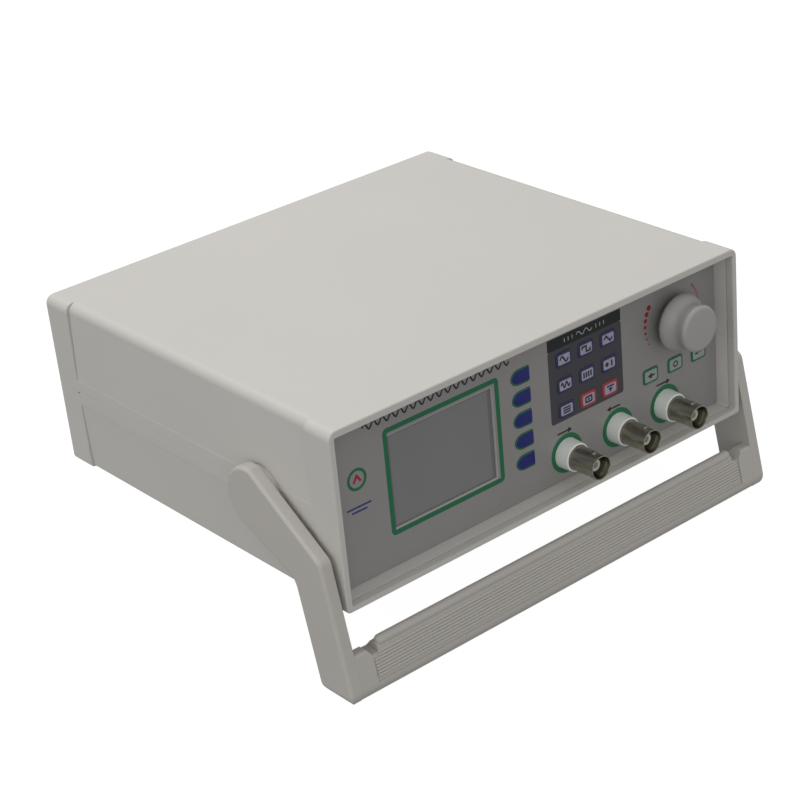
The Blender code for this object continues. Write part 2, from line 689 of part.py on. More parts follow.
def encoder_and_knob():
    """The rotary encoder with its fixing nut, its shaft, and the stepped knob that hides them."""
    rear_y = BEHIND_PLATE_Y + ENCODER_DEPTH
    body_box = slab(*centred(KNOB_X, KNOB_Z, ENCODER_BODY), BEHIND_PLATE_Y, rear_y)
    body = add("encoder_body", boxes_mesh("encoder_body", [body_box]), BLACK_PLASTIC)
    bushing_front, bushing_root = PANEL_Y - 0.0026, BEHIND_PLATE_Y + 0.001
    bushing = [((KNOB_X, bushing_front, KNOB_Z), (KNOB_X, bushing_root, KNOB_Z), BUSHING_RADIUS)]
    boolean(body, tool("encoder_bushing", rods_mesh("encoder_bushing", bushing)), "UNION")
    bore_start, bore_end = (KNOB_X, bushing_front - BEYOND, KNOB_Z), (KNOB_X, rear_y + BEYOND, KNOB_Z)
    bore = [(bore_start, bore_end, SHAFT_RADIUS + GAP)]
    boolean(body, tool("encoder_bore_cutter", rods_mesh("encoder_bore_cutter", bore)))

    nut_front, nut_rear = (KNOB_X, PANEL_Y - 0.0018, KNOB_Z), (KNOB_X, PANEL_Y - GAP, KNOB_Z)
    nut_mesh = rods_mesh("encoder_nut", [(nut_front, nut_rear, ENCODER_NUT_RADIUS)], 6)
    nut = add("encoder_nut", nut_mesh, STEEL)
    nut_bore = [(bore_start, bore_end, BUSHING_RADIUS + GAP)]
    boolean(nut, tool("encoder_nut_cutter", rods_mesh("encoder_nut_cutter", nut_bore)))

    place = (KNOB_X, KNOB_REAR_Y, KNOB_Z)
    height = KNOB_REAR_Y - KNOB_FRONT_Y
    socket_top = height - 0.0022
    shaft_top = socket_top - GAP
    shaft_end = KNOB_REAR_Y - rear_y + 0.0005
    shaft = [(0, shaft_top), (SHAFT_RADIUS, shaft_top), (SHAFT_RADIUS, shaft_end), (0, shaft_end)]
    turned("encoder_shaft", shaft, STEEL, place, TOWARDS_FRONT, steps=24)
    edge, skirt_height, waist_low, waist_high, cap_low = 0.0008, 0.0018, 0.0052, 0.0072, 0.0098
    pocket_radius, pocket_height = 0.0060, 0.0024
    knob = [
        (0, height),
        (KNOB_CAP_RADIUS - edge, height),
        (KNOB_CAP_RADIUS, height - edge),
        (KNOB_CAP_RADIUS, cap_low),
        (KNOB_WAIST_RADIUS, waist_high),
        (KNOB_WAIST_RADIUS, waist_low),
        (KNOB_SKIRT_RADIUS, skirt_height),
        (KNOB_SKIRT_RADIUS, edge),
        (KNOB_SKIRT_RADIUS - edge, 0),
        (pocket_radius, 0),
        (pocket_radius, pocket_height),
        (SHAFT_RADIUS + GAP, pocket_height),
        (SHAFT_RADIUS + GAP, socket_top),
        (0, socket_top),
    ]
    turned("knob", knob, KNOB_PLASTIC, place, TOWARDS_FRONT, steps=40)


# ---------------------------------------------------------------- rear panel
def rear_panel():
    """The rear plate with its cut-outs and seven ventilation slots."""
    plate_box = slab(*PLATE_EXTENT, REAR_PLATE_Y, REAR_PLATE_Y + PLATE_THICKNESS)
    panel = add("rear_panel", boxes_mesh("rear_panel", [plate_box]), CASE_PLASTIC)
    front, back = REAR_PLATE_Y - BEYOND, REAR_PLATE_Y + PLATE_THICKNESS + BEYOND
    openings = [
        slab(*centred(INLET_X, INLET_Z, INLET_BODY, GAP), front, back),
        slab(*centred(ROCKER_X, ROCKER_Z, ROCKER_BODY, GAP), front, back),
    ]
    for i in range(VENTS):
        z = ROCKER_Z + (i - (VENTS - 1) / 2) * VENT_PITCH
        openings.append(slab(*centred(VENT_X, z, VENT_SIZE), front, back))
    boolean(panel, tool("rear_opening_cutter", boxes_mesh("rear_opening_cutter", openings)))


def framed_socket(name, x, z, body, bezel, depth):
    """A bezel outside the rear panel and the body that reaches in through it."""
    outer = slab(*centred(x, z, bezel), BEZEL_Y, BEZEL_Y + BEZEL_THICKNESS)
    made = add(name, box_mesh(name, *outer, corner=BEZEL_CORNER), BLACK_PLASTIC)
    inner = slab(*centred(x, z, body), BEZEL_Y - depth, BEZEL_Y + 0.001)
    boolean(made, tool(f"{name}_body", boxes_mesh(f"{name}_body", [inner])), "UNION")
    return made


def power_inlet():
    """An appliance inlet: a deep mouth with three flat pins."""
    inlet = framed_socket("power_inlet", INLET_X, INLET_Z, INLET_BODY, INLET_BEZEL, 0.022)
    outside_y = BEZEL_Y + BEZEL_THICKNESS
    mouth_depth, pin_length, pin_size = 0.0155, 0.010, (0.0020, 0.0040)
    floor_y = outside_y - mouth_depth
    mouth = slab(*centred(INLET_X, INLET_Z, INLET_MOUTH), floor_y, outside_y + BEYOND)
    boolean(inlet, tool("inlet_mouth_cutter", boxes_mesh("inlet_mouth_cutter", [mouth])))
    pins = []
    for x, z in ((-0.007, 0.002), (0.0, -0.002), (0.007, 0.002)):
        pin_place = centred(INLET_X + x, INLET_Z + z, pin_size)
        pins.append(slab(*pin_place, floor_y - 0.001, floor_y + pin_length))
    boolean(inlet, tool("inlet_pins", boxes_mesh("inlet_pins", pins)), "UNION")


def rocker_switch():
    """The mains switch: a rocker in its frame, stored switched off."""
    frame = framed_socket("rocker_frame", ROCKER_X, ROCKER_Z, ROCKER_BODY, ROCKER_BEZEL, 0.016)
    well_floor, outside_y = BEZEL_Y - 0.0095, BEZEL_Y + BEZEL_THICKNESS + BEYOND
    well = slab(*centred(ROCKER_X, ROCKER_Z, ROCKER_WELL), well_floor, outside_y)
    boolean(frame, tool("rocker_well_cutter", boxes_mesh("rocker_well_cutter", [well])))
    end_y, end_z = 0.0030, 0.0076
    root_y, root_z = -0.0036, 0.0050
    end_rounding, dip_y = 0.0005, 0.0019
    outline = [
        (end_y, end_z, end_rounding),
        (root_y, root_z, 0),
        (root_y, -root_z, 0),
        (end_y, -end_z, end_rounding),
        (dip_y, 0, 0),
    ]
    tipped = [Matrix.Rotation(-ROCKER_SWING, 2) @ point for point in rounded_outline(outline, 3)]
    mesh = prism_mesh("rocker", tipped, ROCKER_WELL[0] - 2 * GAP)
    add("rocker", mesh, BLACK_PLASTIC, (ROCKER_X, ROCKER_PIVOT_Y, ROCKER_Z), OUTLINE_IN_YZ)


# ---------------------------------------------------------------- inside
def inner_boards():
    """The supply and signal boards on the bottom cover's standoffs, with their two tallest parts."""
    board_z = (BOARD_Z, BOARD_Z + BOARD_THICKNESS)
    boards = (
        ("power_supply_board", slab((-0.074, -0.010), board_z, 0.060, 0.164)),
        ("signal_board", slab((-0.006, 0.073), board_z, 0.028, 0.164)),
    )
    for name, board_box in boards:
        add(name, boxes_mesh(name, [board_box]), CIRCUIT_BOARD)

    top = BOARD_Z + BOARD_THICKNESS + GAP
    core_low, core_high = slab((-0.068, -0.024), (top, top + 0.034), 0.112, 0.150)
    core = box_mesh("transformer", core_low, core_high, corner=0.003, axis=0, steps=2)
    add("transformer", core, STEEL)
    fins, pitch, fin, base, height = 7, 0.0050, 0.0014, 0.0030, 0.020
    comb = [(0, 0)]
    for i in range(fins):
        start = i * pitch
        comb += [(start, height), (start + fin, height), (start + fin, base), (start + pitch, base)]
    comb = comb[:-1]
    comb[-1] = ((fins - 1) * pitch + fin, 0)
    sink = prism_mesh("heat_sink", comb, 0.040)
    add("heat_sink", sink, ALUMINIUM, (0.012, 0.110, top), TOWARDS_FRONT)


# ---------------------------------------------------------------- handle
def leg_front(z):
    """The y of the straight front line that the leg and the crossbar share."""
    return LEG_FRONT_TOP[0] + LEG_FRONT_SLOPE * (z - LEG_FRONT_TOP[1])


def floor_line(y):
    """The z of the floor under the level case: a line up to the heel of the rear feet."""
    heel_y = FEET[-1][2] + FOOT_RADIUS - FOOT_CHAMFER
    return -FOOT_HEIGHT + math.tan(STAND_TILT) * (y - heel_y)


def front_toe():
    """Where the leg's front line meets the floor."""
    slope = math.tan(STAND_TILT)
    z = (floor_line(leg_front(0))) / (1 - slope * LEG_FRONT_SLOPE)
    return leg_front(z), z


def from_pivot(corners):
    """Outline corners measured from the handle's pivot."""
    return [(y - PIVOT_Y, z - PIVOT_Z, radius) for y, z, radius in corners]


def handle_hubs():
    """Fixed discs on the case sides whose spigots carry the arms."""
    disc_low = CASE_WIDTH / 2 - SIDE_RECESS + GAP
    disc_high = ARM_INNER_X - GAP
    wall_inside = OPENING_HALF_WIDTH - GAP
    disc_radius = HUB_RADIUS - 0.0001
    spigot_end = ARM_OUTER_X - ARM_SKIN - GAP
    flange_end = wall_inside - HUB_FLANGE_THICKNESS
    profile = [
        (0, spigot_end),
        (HUB_NECK_RADIUS, spigot_end),
        (HUB_NECK_RADIUS, disc_high),
        (disc_radius, disc_high),
        (disc_radius, disc_low),
        (HUB_NECK_RADIUS, disc_low),
        (HUB_NECK_RADIUS, wall_inside),
        (HUB_FLANGE_RADIUS, wall_inside),
        (HUB_FLANGE_RADIUS, flange_end),
        (0, flange_end),
    ]
    for name, side in (("handle_hub_left", -1), ("handle_hub_right", 1)):
        turned(name, profile, CASE_PLASTIC, (0, PIVOT_Y, PIVOT_Z), (0, side * math.pi / 2, 0), steps=36)


def arm_outline():
    """The arm from its hub to the floor: a round end, a slanted upper arm, a knee and a straight leg."""
    knee_y, knee_z = LEG_FRONT_TOP
    rear_y, rear_z = LEG_REAR_KNEE
    toe_y, toe_z = front_toe()
    hub_steps = 14
    hub = []
    for k in range(hub_steps + 1):
        angle = ARM_ROUND_START + (ARM_ROUND_END - ARM_ROUND_START) * k / hub_steps
        hub.append((PIVOT_Y + HUB_RADIUS * math.cos(angle), PIVOT_Z + HUB_RADIUS * math.sin(angle), 0))
    corners = hub + [
        (rear_y, rear_z, 0.007),
        (LEG_HEEL_Y, floor_line(LEG_HEEL_Y), 0.0035),
        (toe_y, toe_z, 0.004),
        (knee_y, knee_z, 0.004),
    ]
    return rounded_outline(from_pivot(corners))


def handle_arms():
    outline = arm_outline()
    thickness = ARM_OUTER_X - ARM_INNER_X
    for name, side in (("handle_arm_left", -1), ("handle_arm_right", 1)):
        middle = side * (ARM_INNER_X + thickness / 2)
        mesh = prism_mesh(name, outline, thickness)
        arm = add(name, mesh, CASE_PLASTIC, (middle, 0, 0), OUTLINE_IN_YZ, HANDLE_PIVOT)
        start, end = (side * (ARM_INNER_X - BEYOND), 0, 0), (side * (ARM_OUTER_X - ARM_SKIN), 0, 0)
        bore = rods_mesh(f"{name}_bore_cutter", [(start, end, HUB_NECK_RADIUS + GAP)], 32)
        boolean(arm, tool(f"{name}_bore_cutter", bore, parent=HANDLE_PIVOT))


def handle_crossbar():
    """The bar between the arms. Its rear top slopes down, and the ribbed grip sits along its front."""
    toe_y, toe_z = front_toe()
    top_z = CROSSBAR_TOP_Z
    rear_low_y = leg_front(toe_z) + CROSSBAR_DEPTH
    corners = [
        (leg_front(top_z), top_z, 0.002),
        (leg_front(top_z) + CROSSBAR_TOP_DEPTH, top_z, 0.001),
        (leg_front(CROSSBAR_SHOULDER_Z) + CROSSBAR_DEPTH, CROSSBAR_SHOULDER_Z, 0.002),
        (rear_low_y, floor_line(rear_low_y), 0.002),
        (toe_y, toe_z, 0.004),
    ]
    length = 2 * (ARM_INNER_X - GAP)
    bar_mesh = prism_mesh("handle_crossbar", rounded_outline(from_pivot(corners)), length)
    bar = add("handle_crossbar", bar_mesh, CASE_PLASTIC, (0, 0, 0), OUTLINE_IN_YZ, HANDLE_PIVOT)
    seat_depth = GRIP_THICKNESS + GAP
    seat_low, seat_high = GRIP_LOW_Z, top_z + BEYOND
    bead_depth = 2 * GRIP_BEAD_RADIUS + GAP
    seat = [
        (leg_front(seat_low) - BEYOND, seat_low, 0),
        (leg_front(seat_low) + seat_depth, seat_low, 0),
        (leg_front(GRIP_BEAD_Z) + seat_depth, GRIP_BEAD_Z - GRIP_BEAD_RADIUS - 0.0004, 0),
        (leg_front(GRIP_BEAD_Z) + bead_depth, GRIP_BEAD_Z - GRIP_BEAD_RADIUS, 0),
        (leg_front(seat_high) + bead_depth, seat_high, 0),
        (leg_front(seat_high) - BEYOND, seat_high, 0),
    ]
    cutter = prism_mesh("grip_seat_cutter", rounded_outline(from_pivot(seat)), 2 * (GRIP_HALF_LENGTH + GAP))
    boolean(bar, tool("grip_seat_cutter", cutter, turn=OUTLINE_IN_YZ, parent=HANDLE_PIVOT))


def handle_grip():
    """The ribbed strip: a round bead along its top and a row of fine ribs below it."""
    ribs, groove_depth = 8, 0.0006
    low_z, rib_low, rib_high = GRIP_LOW_Z + GAP, GRIP_LOW_Z + 0.0012, GRIP_BEAD_Z - 0.0027
    corners = [(leg_front(low_z) + GRIP_THICKNESS, low_z, 0), (leg_front(low_z) + groove_depth, low_z, 0)]
    pitch = (rib_high - rib_low) / ribs
    for i in range(ribs):
        z = rib_low + i * pitch
        corners.append((leg_front(z) + groove_depth, z, 0))
        corners.append((leg_front(z + pitch / 2), z + pitch / 2, 0))
    corners.append((leg_front(rib_high) + groove_depth, rib_high, 0))
    bead_y = leg_front(GRIP_BEAD_Z) + GRIP_BEAD_RADIUS
    start, end, bead_steps = math.radians(230), math.radians(-60), 12
    for k in range(bead_steps + 1):
        angle = start + (end - start) * k / bead_steps
        y = bead_y + GRIP_BEAD_RADIUS * math.cos(angle)
        z = GRIP_BEAD_Z + GRIP_BEAD_RADIUS * math.sin(angle)
        corners.append((y, z, 0))
    corners.append((leg_front(rib_high) + GRIP_THICKNESS, rib_high, 0))
    mesh = prism_mesh("handle_grip", rounded_outline(from_pivot(corners)), 2 * GRIP_HALF_LENGTH)
    add("handle_grip", mesh, CASE_PLASTIC, (0, 0, 0), OUTLINE_IN_YZ, HANDLE_PIVOT)


# ---------------------------------------------------------------- assembly
def stand_on_origin():
    """Leans the case back, then puts the middle of its lowest plane on the world origin."""
    CASE_FRAME.rotation_euler = (-STAND_TILT, 0, 0)
    bpy.context.view_layer.update()
    graph = bpy.context.evaluated_depsgraph_get()
    low, high = Vector((math.inf,) * 3), Vector((-math.inf,) * 3)
    for piece in PARTS.objects:
        if piece.type != "MESH":
            continue
        evaluated = piece.evaluated_get(graph)
        for vertex in evaluated.data.vertices:
            place = evaluated.matrix_world @ vertex.co
            low = Vector(map(min, low, place))
            high = Vector(map(max, high, place))
    CASE_FRAME.location = (-(low.x + high.x) / 2, -(low.y + high.y) / 2, -low.z)


def shade():
    """Round pieces shaded smooth, with their real edges kept sharp."""
    for piece in PARTS.objects:
        if piece.type == "MESH":
            piece.data.shade_smooth()
            piece.data.set_sharp_from_angle(angle=math.radians(35))


case_covers()
case_screws()
feet()
front_film_and_plate()
display()
keys()
switch_board()
control_board()
bnc_sockets()
encoder_and_knob()
rear_panel()
power_inlet()
rocker_switch()
inner_boards()
handle_hubs()
handle_arms()
handle_crossbar()
handle_grip()
shade()
stand_on_origin()
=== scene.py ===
"""The looks of a bench function generator that leans back on its handle.

Shapes are drawn in millimetres in the level frame of the case: x = 0 on its centre plane, y = 0 on
its front rim and z = 0 under its floor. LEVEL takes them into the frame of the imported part.
"""

import json
import math

import bmesh
import bpy
from mathutils import Matrix, Vector

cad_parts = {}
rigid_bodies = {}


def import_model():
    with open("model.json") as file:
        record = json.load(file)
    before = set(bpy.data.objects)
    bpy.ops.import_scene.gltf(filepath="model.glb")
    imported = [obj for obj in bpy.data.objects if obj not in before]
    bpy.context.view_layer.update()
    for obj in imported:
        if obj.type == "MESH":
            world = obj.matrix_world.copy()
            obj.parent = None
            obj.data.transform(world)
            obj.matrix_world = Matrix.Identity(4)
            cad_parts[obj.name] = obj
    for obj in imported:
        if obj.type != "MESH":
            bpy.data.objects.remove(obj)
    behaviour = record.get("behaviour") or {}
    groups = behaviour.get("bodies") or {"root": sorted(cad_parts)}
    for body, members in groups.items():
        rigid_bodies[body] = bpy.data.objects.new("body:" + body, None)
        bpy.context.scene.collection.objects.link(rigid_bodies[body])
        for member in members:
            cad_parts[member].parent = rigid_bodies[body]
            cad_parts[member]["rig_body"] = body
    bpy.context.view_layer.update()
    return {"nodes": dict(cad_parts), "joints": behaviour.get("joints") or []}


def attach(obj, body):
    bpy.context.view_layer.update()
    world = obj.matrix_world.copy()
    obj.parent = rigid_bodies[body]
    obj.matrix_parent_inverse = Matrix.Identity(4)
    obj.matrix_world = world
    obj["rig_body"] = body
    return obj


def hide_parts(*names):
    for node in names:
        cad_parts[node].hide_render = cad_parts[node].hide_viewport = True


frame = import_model()
NODES = frame["nodes"]
JOINTS = {joint["name"]: joint for joint in frame["joints"]}

# ---- the level frame of the case
PIVOT_Y, PIVOT_Z = 42.5, 33.0
INWARD = Vector(JOINTS["knob_turn"]["axis"])
TILT = math.atan2(-INWARD.z, INWARD.y)
LEAN = Matrix.Rotation(-TILT, 4, "X") @ Matrix.Scale(0.001, 4)
ORIGIN = Vector(JOINTS["handle_swing"]["pos_m"]) - LEAN @ Vector((0, PIVOT_Y, PIVOT_Z))
LEVEL = Matrix.Translation(ORIGIN) @ LEAN

HALF_WIDTH, DEPTH, HEIGHT = 100.0, 176.6, 70.8
PARTING_Z = 33.5
FACE_TO_FRONT = Matrix.Rotation(math.pi / 2, 4, "X")
FACE_TO_REAR = Matrix.Rotation(math.pi, 4, "Z") @ FACE_TO_FRONT

PANEL_Y = 8.3
PRINT_HEIGHT = 0.05

# ---- camera
CAMERA_PLACE = Vector((-474.1, -525.0, 401.7))
CAMERA_FORWARD = Vector((0.54731, 0.70829, -0.44584))
CAMERA_RIGHT = Vector((0.76109, -0.64280, -0.08689))
FOCAL_LENGTH, SENSOR_WIDTH = 98.45, 36.0


def make_camera():
    data = bpy.data.cameras.new("camera")
    data.lens = FOCAL_LENGTH
    data.sensor_width = SENSOR_WIDTH
    data.sensor_fit = "HORIZONTAL"
    data.clip_start = 0.01
    data.clip_end = 20.0
    camera = bpy.data.objects.new("camera", data)
    bpy.context.scene.collection.objects.link(camera)
    turn = LEAN.to_3x3().normalized()
    back = turn @ -CAMERA_FORWARD.normalized()
    right = (turn @ CAMERA_RIGHT).normalized()
    up = back.cross(right).normalized()
    right = up.cross(back)
    facing = Matrix((right, up, back)).transposed().to_4x4()
    camera.matrix_world = Matrix.Translation(LEVEL @ CAMERA_PLACE) @ facing
    bpy.context.scene.camera = camera


make_camera()


# ---- materials
# Width and strength of the painted highlight that makes every sharp edge paler, as if the edges caught the
# light.
HIGHLIGHT_EDGE_WIDTH, HIGHLIGHT_EDGE_PALER = 0.0006, 1.22
GLOSS_CLOUD, GRAIN_DEPTH = 2.3, 0.00004


class Nodes:
    """A node tree with short ways to add and join nodes."""

    def __init__(self, tree):
        self.tree = tree

    def add(self, kind, inputs=None, **settings):
        node = self.tree.nodes.new(kind)
        for key, value in settings.items():
            setattr(node, key, value)
        for key, value in (inputs or {}).items():
            self.feed(node.inputs[key], value)
        return node

    def feed(self, socket, value):
        if isinstance(value, bpy.types.NodeSocket):
            self.tree.links.new(value, socket)
        else:
            socket.default_value = value

    def noise(self, scale, detail=2.0, stretch=(1, 1, 1)):
        """Noise in object space. Scale is in features per metre."""
        place = self.add("ShaderNodeTexCoord").outputs["Object"]
        mapped = self.add("ShaderNodeMapping", {"Vector": place, "Scale": stretch})
        inputs = {"Vector": mapped.outputs["Vector"], "Scale": scale, "Detail": detail}
        return self.add("ShaderNodeTexNoise", inputs).outputs["Fac"]

    def spread(self, fac, low, high, start=0.3, end=0.7):
        """A value from low to high as fac goes from start to end."""
        inputs = {"Value": fac, "From Min": start, "From Max": end, "To Min": low, "To Max": high}
        return self.add("ShaderNodeMapRange", inputs).outputs["Result"]

    def blend(self, fac, first, second):
        """A colour between two others."""
        node = self.add("ShaderNodeMix", data_type="RGBA")
        for socket, value in zip((node.inputs[0], node.inputs[6], node.inputs[7]), (fac, first, second)):
            self.feed(socket, value)
        return node.outputs[2]


def shade_of(colour, factor):
    return (*[channel * factor for channel in colour], 1.0)


def material(
    name,
    colour,
    roughness,
    metallic=0.0,
    variation=0.05,
    cloud=18.0,
    grain=2600.0,
    bump=0.12,
    spread=0.05,
    stretch=(1, 1, 1),
    coat=0.0,
    edge_highlight=0.0,
):
    """A moulded, printed or metal surface: cloudy colour, uneven gloss, fine grain and edges painted paler as
    a painted highlight.
    """
    made = bpy.data.materials.new(name)
    made.use_nodes = True
    n = Nodes(made.node_tree)
    shader = made.node_tree.nodes["Principled BSDF"]
    broad = n.noise(cloud, 3.0)
    fine = n.noise(grain, 2.0, stretch)
    tone = n.blend(
        n.spread(broad, 0.0, 1.0),
        shade_of(colour, 1.0 - variation),
        shade_of(colour, 1.0 + variation),
    )
    tone = n.blend(n.spread(fine, 0.0, 0.35), tone, shade_of(colour, 1.0 - 1.6 * variation))
    # Edges are painted paler here: a painted highlight along the edges, where they would catch the light.
    if edge_highlight:
        edge = n.add("ShaderNodeBevel", {"Radius": HIGHLIGHT_EDGE_WIDTH}, samples=4).outputs["Normal"]
        plain = n.add("ShaderNodeNewGeometry").outputs["Normal"]
        cosine = n.add("ShaderNodeVectorMath", {0: edge, 1: plain}, operation="DOT_PRODUCT").outputs["Value"]
        tone = n.blend(n.spread(cosine, edge_highlight, 0.0, 0.80, 0.99), tone, shade_of(colour, HIGHLIGHT_EDGE_PALER))
    n.feed(shader.inputs["Base Color"], tone)
    gloss = n.noise(cloud * GLOSS_CLOUD, 2.0)
    n.feed(shader.inputs["Roughness"], n.spread(gloss, roughness - spread, roughness + spread))
    shader.inputs["Metallic"].default_value = metallic
    shader.inputs["Coat Weight"].default_value = coat
    shader.inputs["Coat Roughness"].default_value = 0.12
    if bump:
        raised = n.add("ShaderNodeBump", {"Strength": bump, "Distance": GRAIN_DEPTH, "Height": fine})
        n.feed(shader.inputs["Normal"], raised.outputs["Normal"])
    made.diffuse_color = (*colour, 1.0)
    return made


def ink(name, colour, variation=0.06):
    """Ink printed on the film and the keys."""
    return material(name, colour, 0.42, variation=variation, grain=3600, bump=0.08)


# The case, handle and knob get a painted highlight that makes their edges paler.
CASE = material("case_abs", (0.600, 0.580, 0.545), 0.50, variation=0.016, cloud=9.0, bump=0.30, edge_highlight=0.18)
HANDLE = material(
    "handle_abs", (0.530, 0.508, 0.468), 0.48, variation=0.018, cloud=12.0, bump=0.30, edge_highlight=0.18
)
FILM = material(
    "panel_film_print", (0.330, 0.322, 0.314), 0.42, 0.25, variation=0.03, grain=4200, bump=0.10
)
FILM_EDGE = material("panel_film_edge", (0.62, 0.62, 0.61), 0.4, variation=0.02, bump=0.05)
KEYPAD_PRINT = material("keypad_print", (0.056, 0.055, 0.069), 0.42, variation=0.04, grain=4200, bump=0.10)
HEADER_PRINT = material("header_print", (0.008, 0.012, 0.013), 0.40, variation=0.05, grain=4200, bump=0.10)
GREEN_PRINT = ink("green_print", (0.010, 0.150, 0.062))
RED_PRINT = ink("red_print", (0.330, 0.012, 0.030))
DARK_PRINT = ink("dark_print", (0.022, 0.024, 0.030), 0.08)
PALE_PRINT = ink("pale_print", (0.42, 0.45, 0.45), 0.05)
BLUE_PRINT = ink("blue_print", (0.035, 0.035, 0.200))
BLUE_KEY = material("blue_key_dome", (0.007, 0.013, 0.165), 0.36, variation=0.07, grain=3200, bump=0.12)
BLUE_FRAME = material("blue_key_frame", (0.030, 0.030, 0.095), 0.38, variation=0.06, grain=3200, bump=0.10)
RED_FRAME = material("red_key_frame", (0.420, 0.045, 0.040), 0.38, variation=0.06, grain=3200, bump=0.10)
KEY_FACE = material("lavender_key_face", (0.380, 0.370, 0.500), 0.40, variation=0.04, grain=3200, bump=0.12)
GREEN_FACE = material("green_key_face", (0.330, 0.370, 0.360), 0.40, variation=0.04, grain=3200, bump=0.12)
DISPLAY = material(
    "display_glass", (0.220, 0.220, 0.220), 0.22, variation=0.025, cloud=30.0, bump=0.02, coat=0.25
)
DISPLAY_EDGE = material("display_border", (0.175, 0.175, 0.177), 0.25, variation=0.03, bump=0.02)
KNOB = material("knob_abs", (0.400, 0.390, 0.375), 0.42, variation=0.02, cloud=40.0, bump=0.25, edge_highlight=0.15)
WHITE = material("collar_nylon", (0.860, 0.890, 0.850), 0.35, variation=0.02, cloud=60.0, bump=0.15)
NICKEL = material(
    "nickel_plate", (0.430, 0.415, 0.335), 0.26, 1.0, variation=0.015, cloud=120.0, grain=1200, bump=0.01,
    stretch=(1, 0.05, 1), spread=0.015,
)
BRASS = material("gilt_contact", (0.55, 0.44, 0.25), 0.30, 1.0, variation=0.08, cloud=300.0, bump=0.05)
INSULATOR = material("socket_insulator", (0.60, 0.60, 0.56), 0.4, variation=0.04, cloud=200.0, bump=0.08)
STEEL = material(
    "bright_steel", (0.50, 0.50, 0.49), 0.34, 1.0, variation=0.08, cloud=160.0, grain=2200, bump=0.10
)
ALUMINIUM = material(
    "brushed_aluminium", (0.62, 0.62, 0.63), 0.38, 1.0, variation=0.06, stretch=(1, 0.1, 1), bump=0.15
)
PLATE = material("plate_aluminium", (0.42, 0.42, 0.42), 0.45, 0.6, variation=0.05, bump=0.10)
BLACK = material("black_nylon", (0.018, 0.018, 0.019), 0.46, variation=0.12, cloud=70.0, bump=0.30)
BOARD = material(
    "solder_mask", (0.012, 0.110, 0.045), 0.42, variation=0.15, cloud=160.0, grain=1400, bump=0.15
)
RUBBER = material(
    "foot_rubber", (0.028, 0.028, 0.029), 0.82, variation=0.15, cloud=120.0, grain=1900, bump=0.5
)
WHITE_MARK = material("white_mark", (0.72, 0.72, 0.70), 0.5, variation=0.03, bump=0.05)


# ---- shape helpers
def mesh_from(bm, name="shape"):
    mesh = bpy.data.meshes.new(name)
    bm.to_mesh(mesh)
    bm.free()
    return mesh


def evaluated(obj):
    """The mesh of a temporary object with its modifiers applied. The object is then removed."""
    bpy.context.scene.collection.objects.link(obj)
    bpy.context.view_layer.update()
    graph = bpy.context.evaluated_depsgraph_get()
    mesh = bpy.data.meshes.new_from_object(obj.evaluated_get(graph))
    mesh.transform(obj.matrix_world)
    bpy.data.objects.remove(obj, do_unlink=True)
    return mesh


def rounded(corners, steps=6):
    """Points of a closed outline whose corners, given as (x, y, radius), are rounded off with arcs."""
    points = []
    for i, (x, y, radius) in enumerate(corners):
        here = Vector((x, y))
        if not radius:
            points.append(here)
            continue
        before = (Vector(corners[i - 1][:2]) - here).normalized()
        after = (Vector(corners[(i + 1) % len(corners)][:2]) - here).normalized()
        half = before.angle(after) / 2
        centre = here + (before + after).normalized() * radius / math.sin(half)
        first = here + before * radius / math.tan(half) - centre
        sweep = math.pi - 2 * half
        if before.x * after.y - before.y * after.x > 0:
            sweep = -sweep
        for k in range(steps + 1):
            points.append(centre + Matrix.Rotation(sweep * k / steps, 2) @ first)
    return points


def mirrored(points):
    """Points followed by their images on the other side of x = 0, in the opposite order."""
    return points + [(-x, *rest) for x, *rest in reversed(points)]


def rectangle(x, z, width, height, radius=0.0, steps=5):
    half_x, half_z = width / 2, height / 2
    corners = ((-1, -1), (1, -1), (1, 1), (-1, 1))
    return rounded([(x + a * half_x, z + b * half_z, radius) for a, b in corners], steps)


def circle(x, z, radius, steps=48):
    turn = 2 * math.pi / steps
    return [Vector((x + radius * math.cos(i * turn), z + radius * math.sin(i * turn))) for i in range(steps)]


def sheet(outlines, near, far, face=FACE_TO_FRONT, bevel=0.0):
    """A flat sheet between two depths behind a plane. Outlines inside others are holes."""
    curve = bpy.data.curves.new("outline", "CURVE")
    curve.dimensions = "2D"
    curve.fill_mode = "BOTH"
    curve.extrude = abs(far - near) / 2 - bevel
    curve.bevel_depth = bevel
    curve.bevel_resolution = 2
    curve.offset = -bevel
    for outline in outlines:
        spline = curve.splines.new("POLY")
        spline.points.add(len(outline) - 1)
        for point, place in zip(spline.points, outline):
            point.co = (place[0], place[1], 0, 1)
        spline.use_cyclic_u = True
    flat = bpy.data.objects.new("outline", curve)
    flat.matrix_world = face @ Matrix.Translation((0, 0, -(near + far) / 2))
    mesh = evaluated(flat)
    bm = bmesh.new()
    bm.from_mesh(mesh)
    bmesh.ops.remove_doubles(bm, verts=bm.verts, dist=0.0005)
    bmesh.ops.recalc_face_normals(bm, faces=bm.faces)
    bm.to_mesh(mesh)
    bm.free()
    return mesh


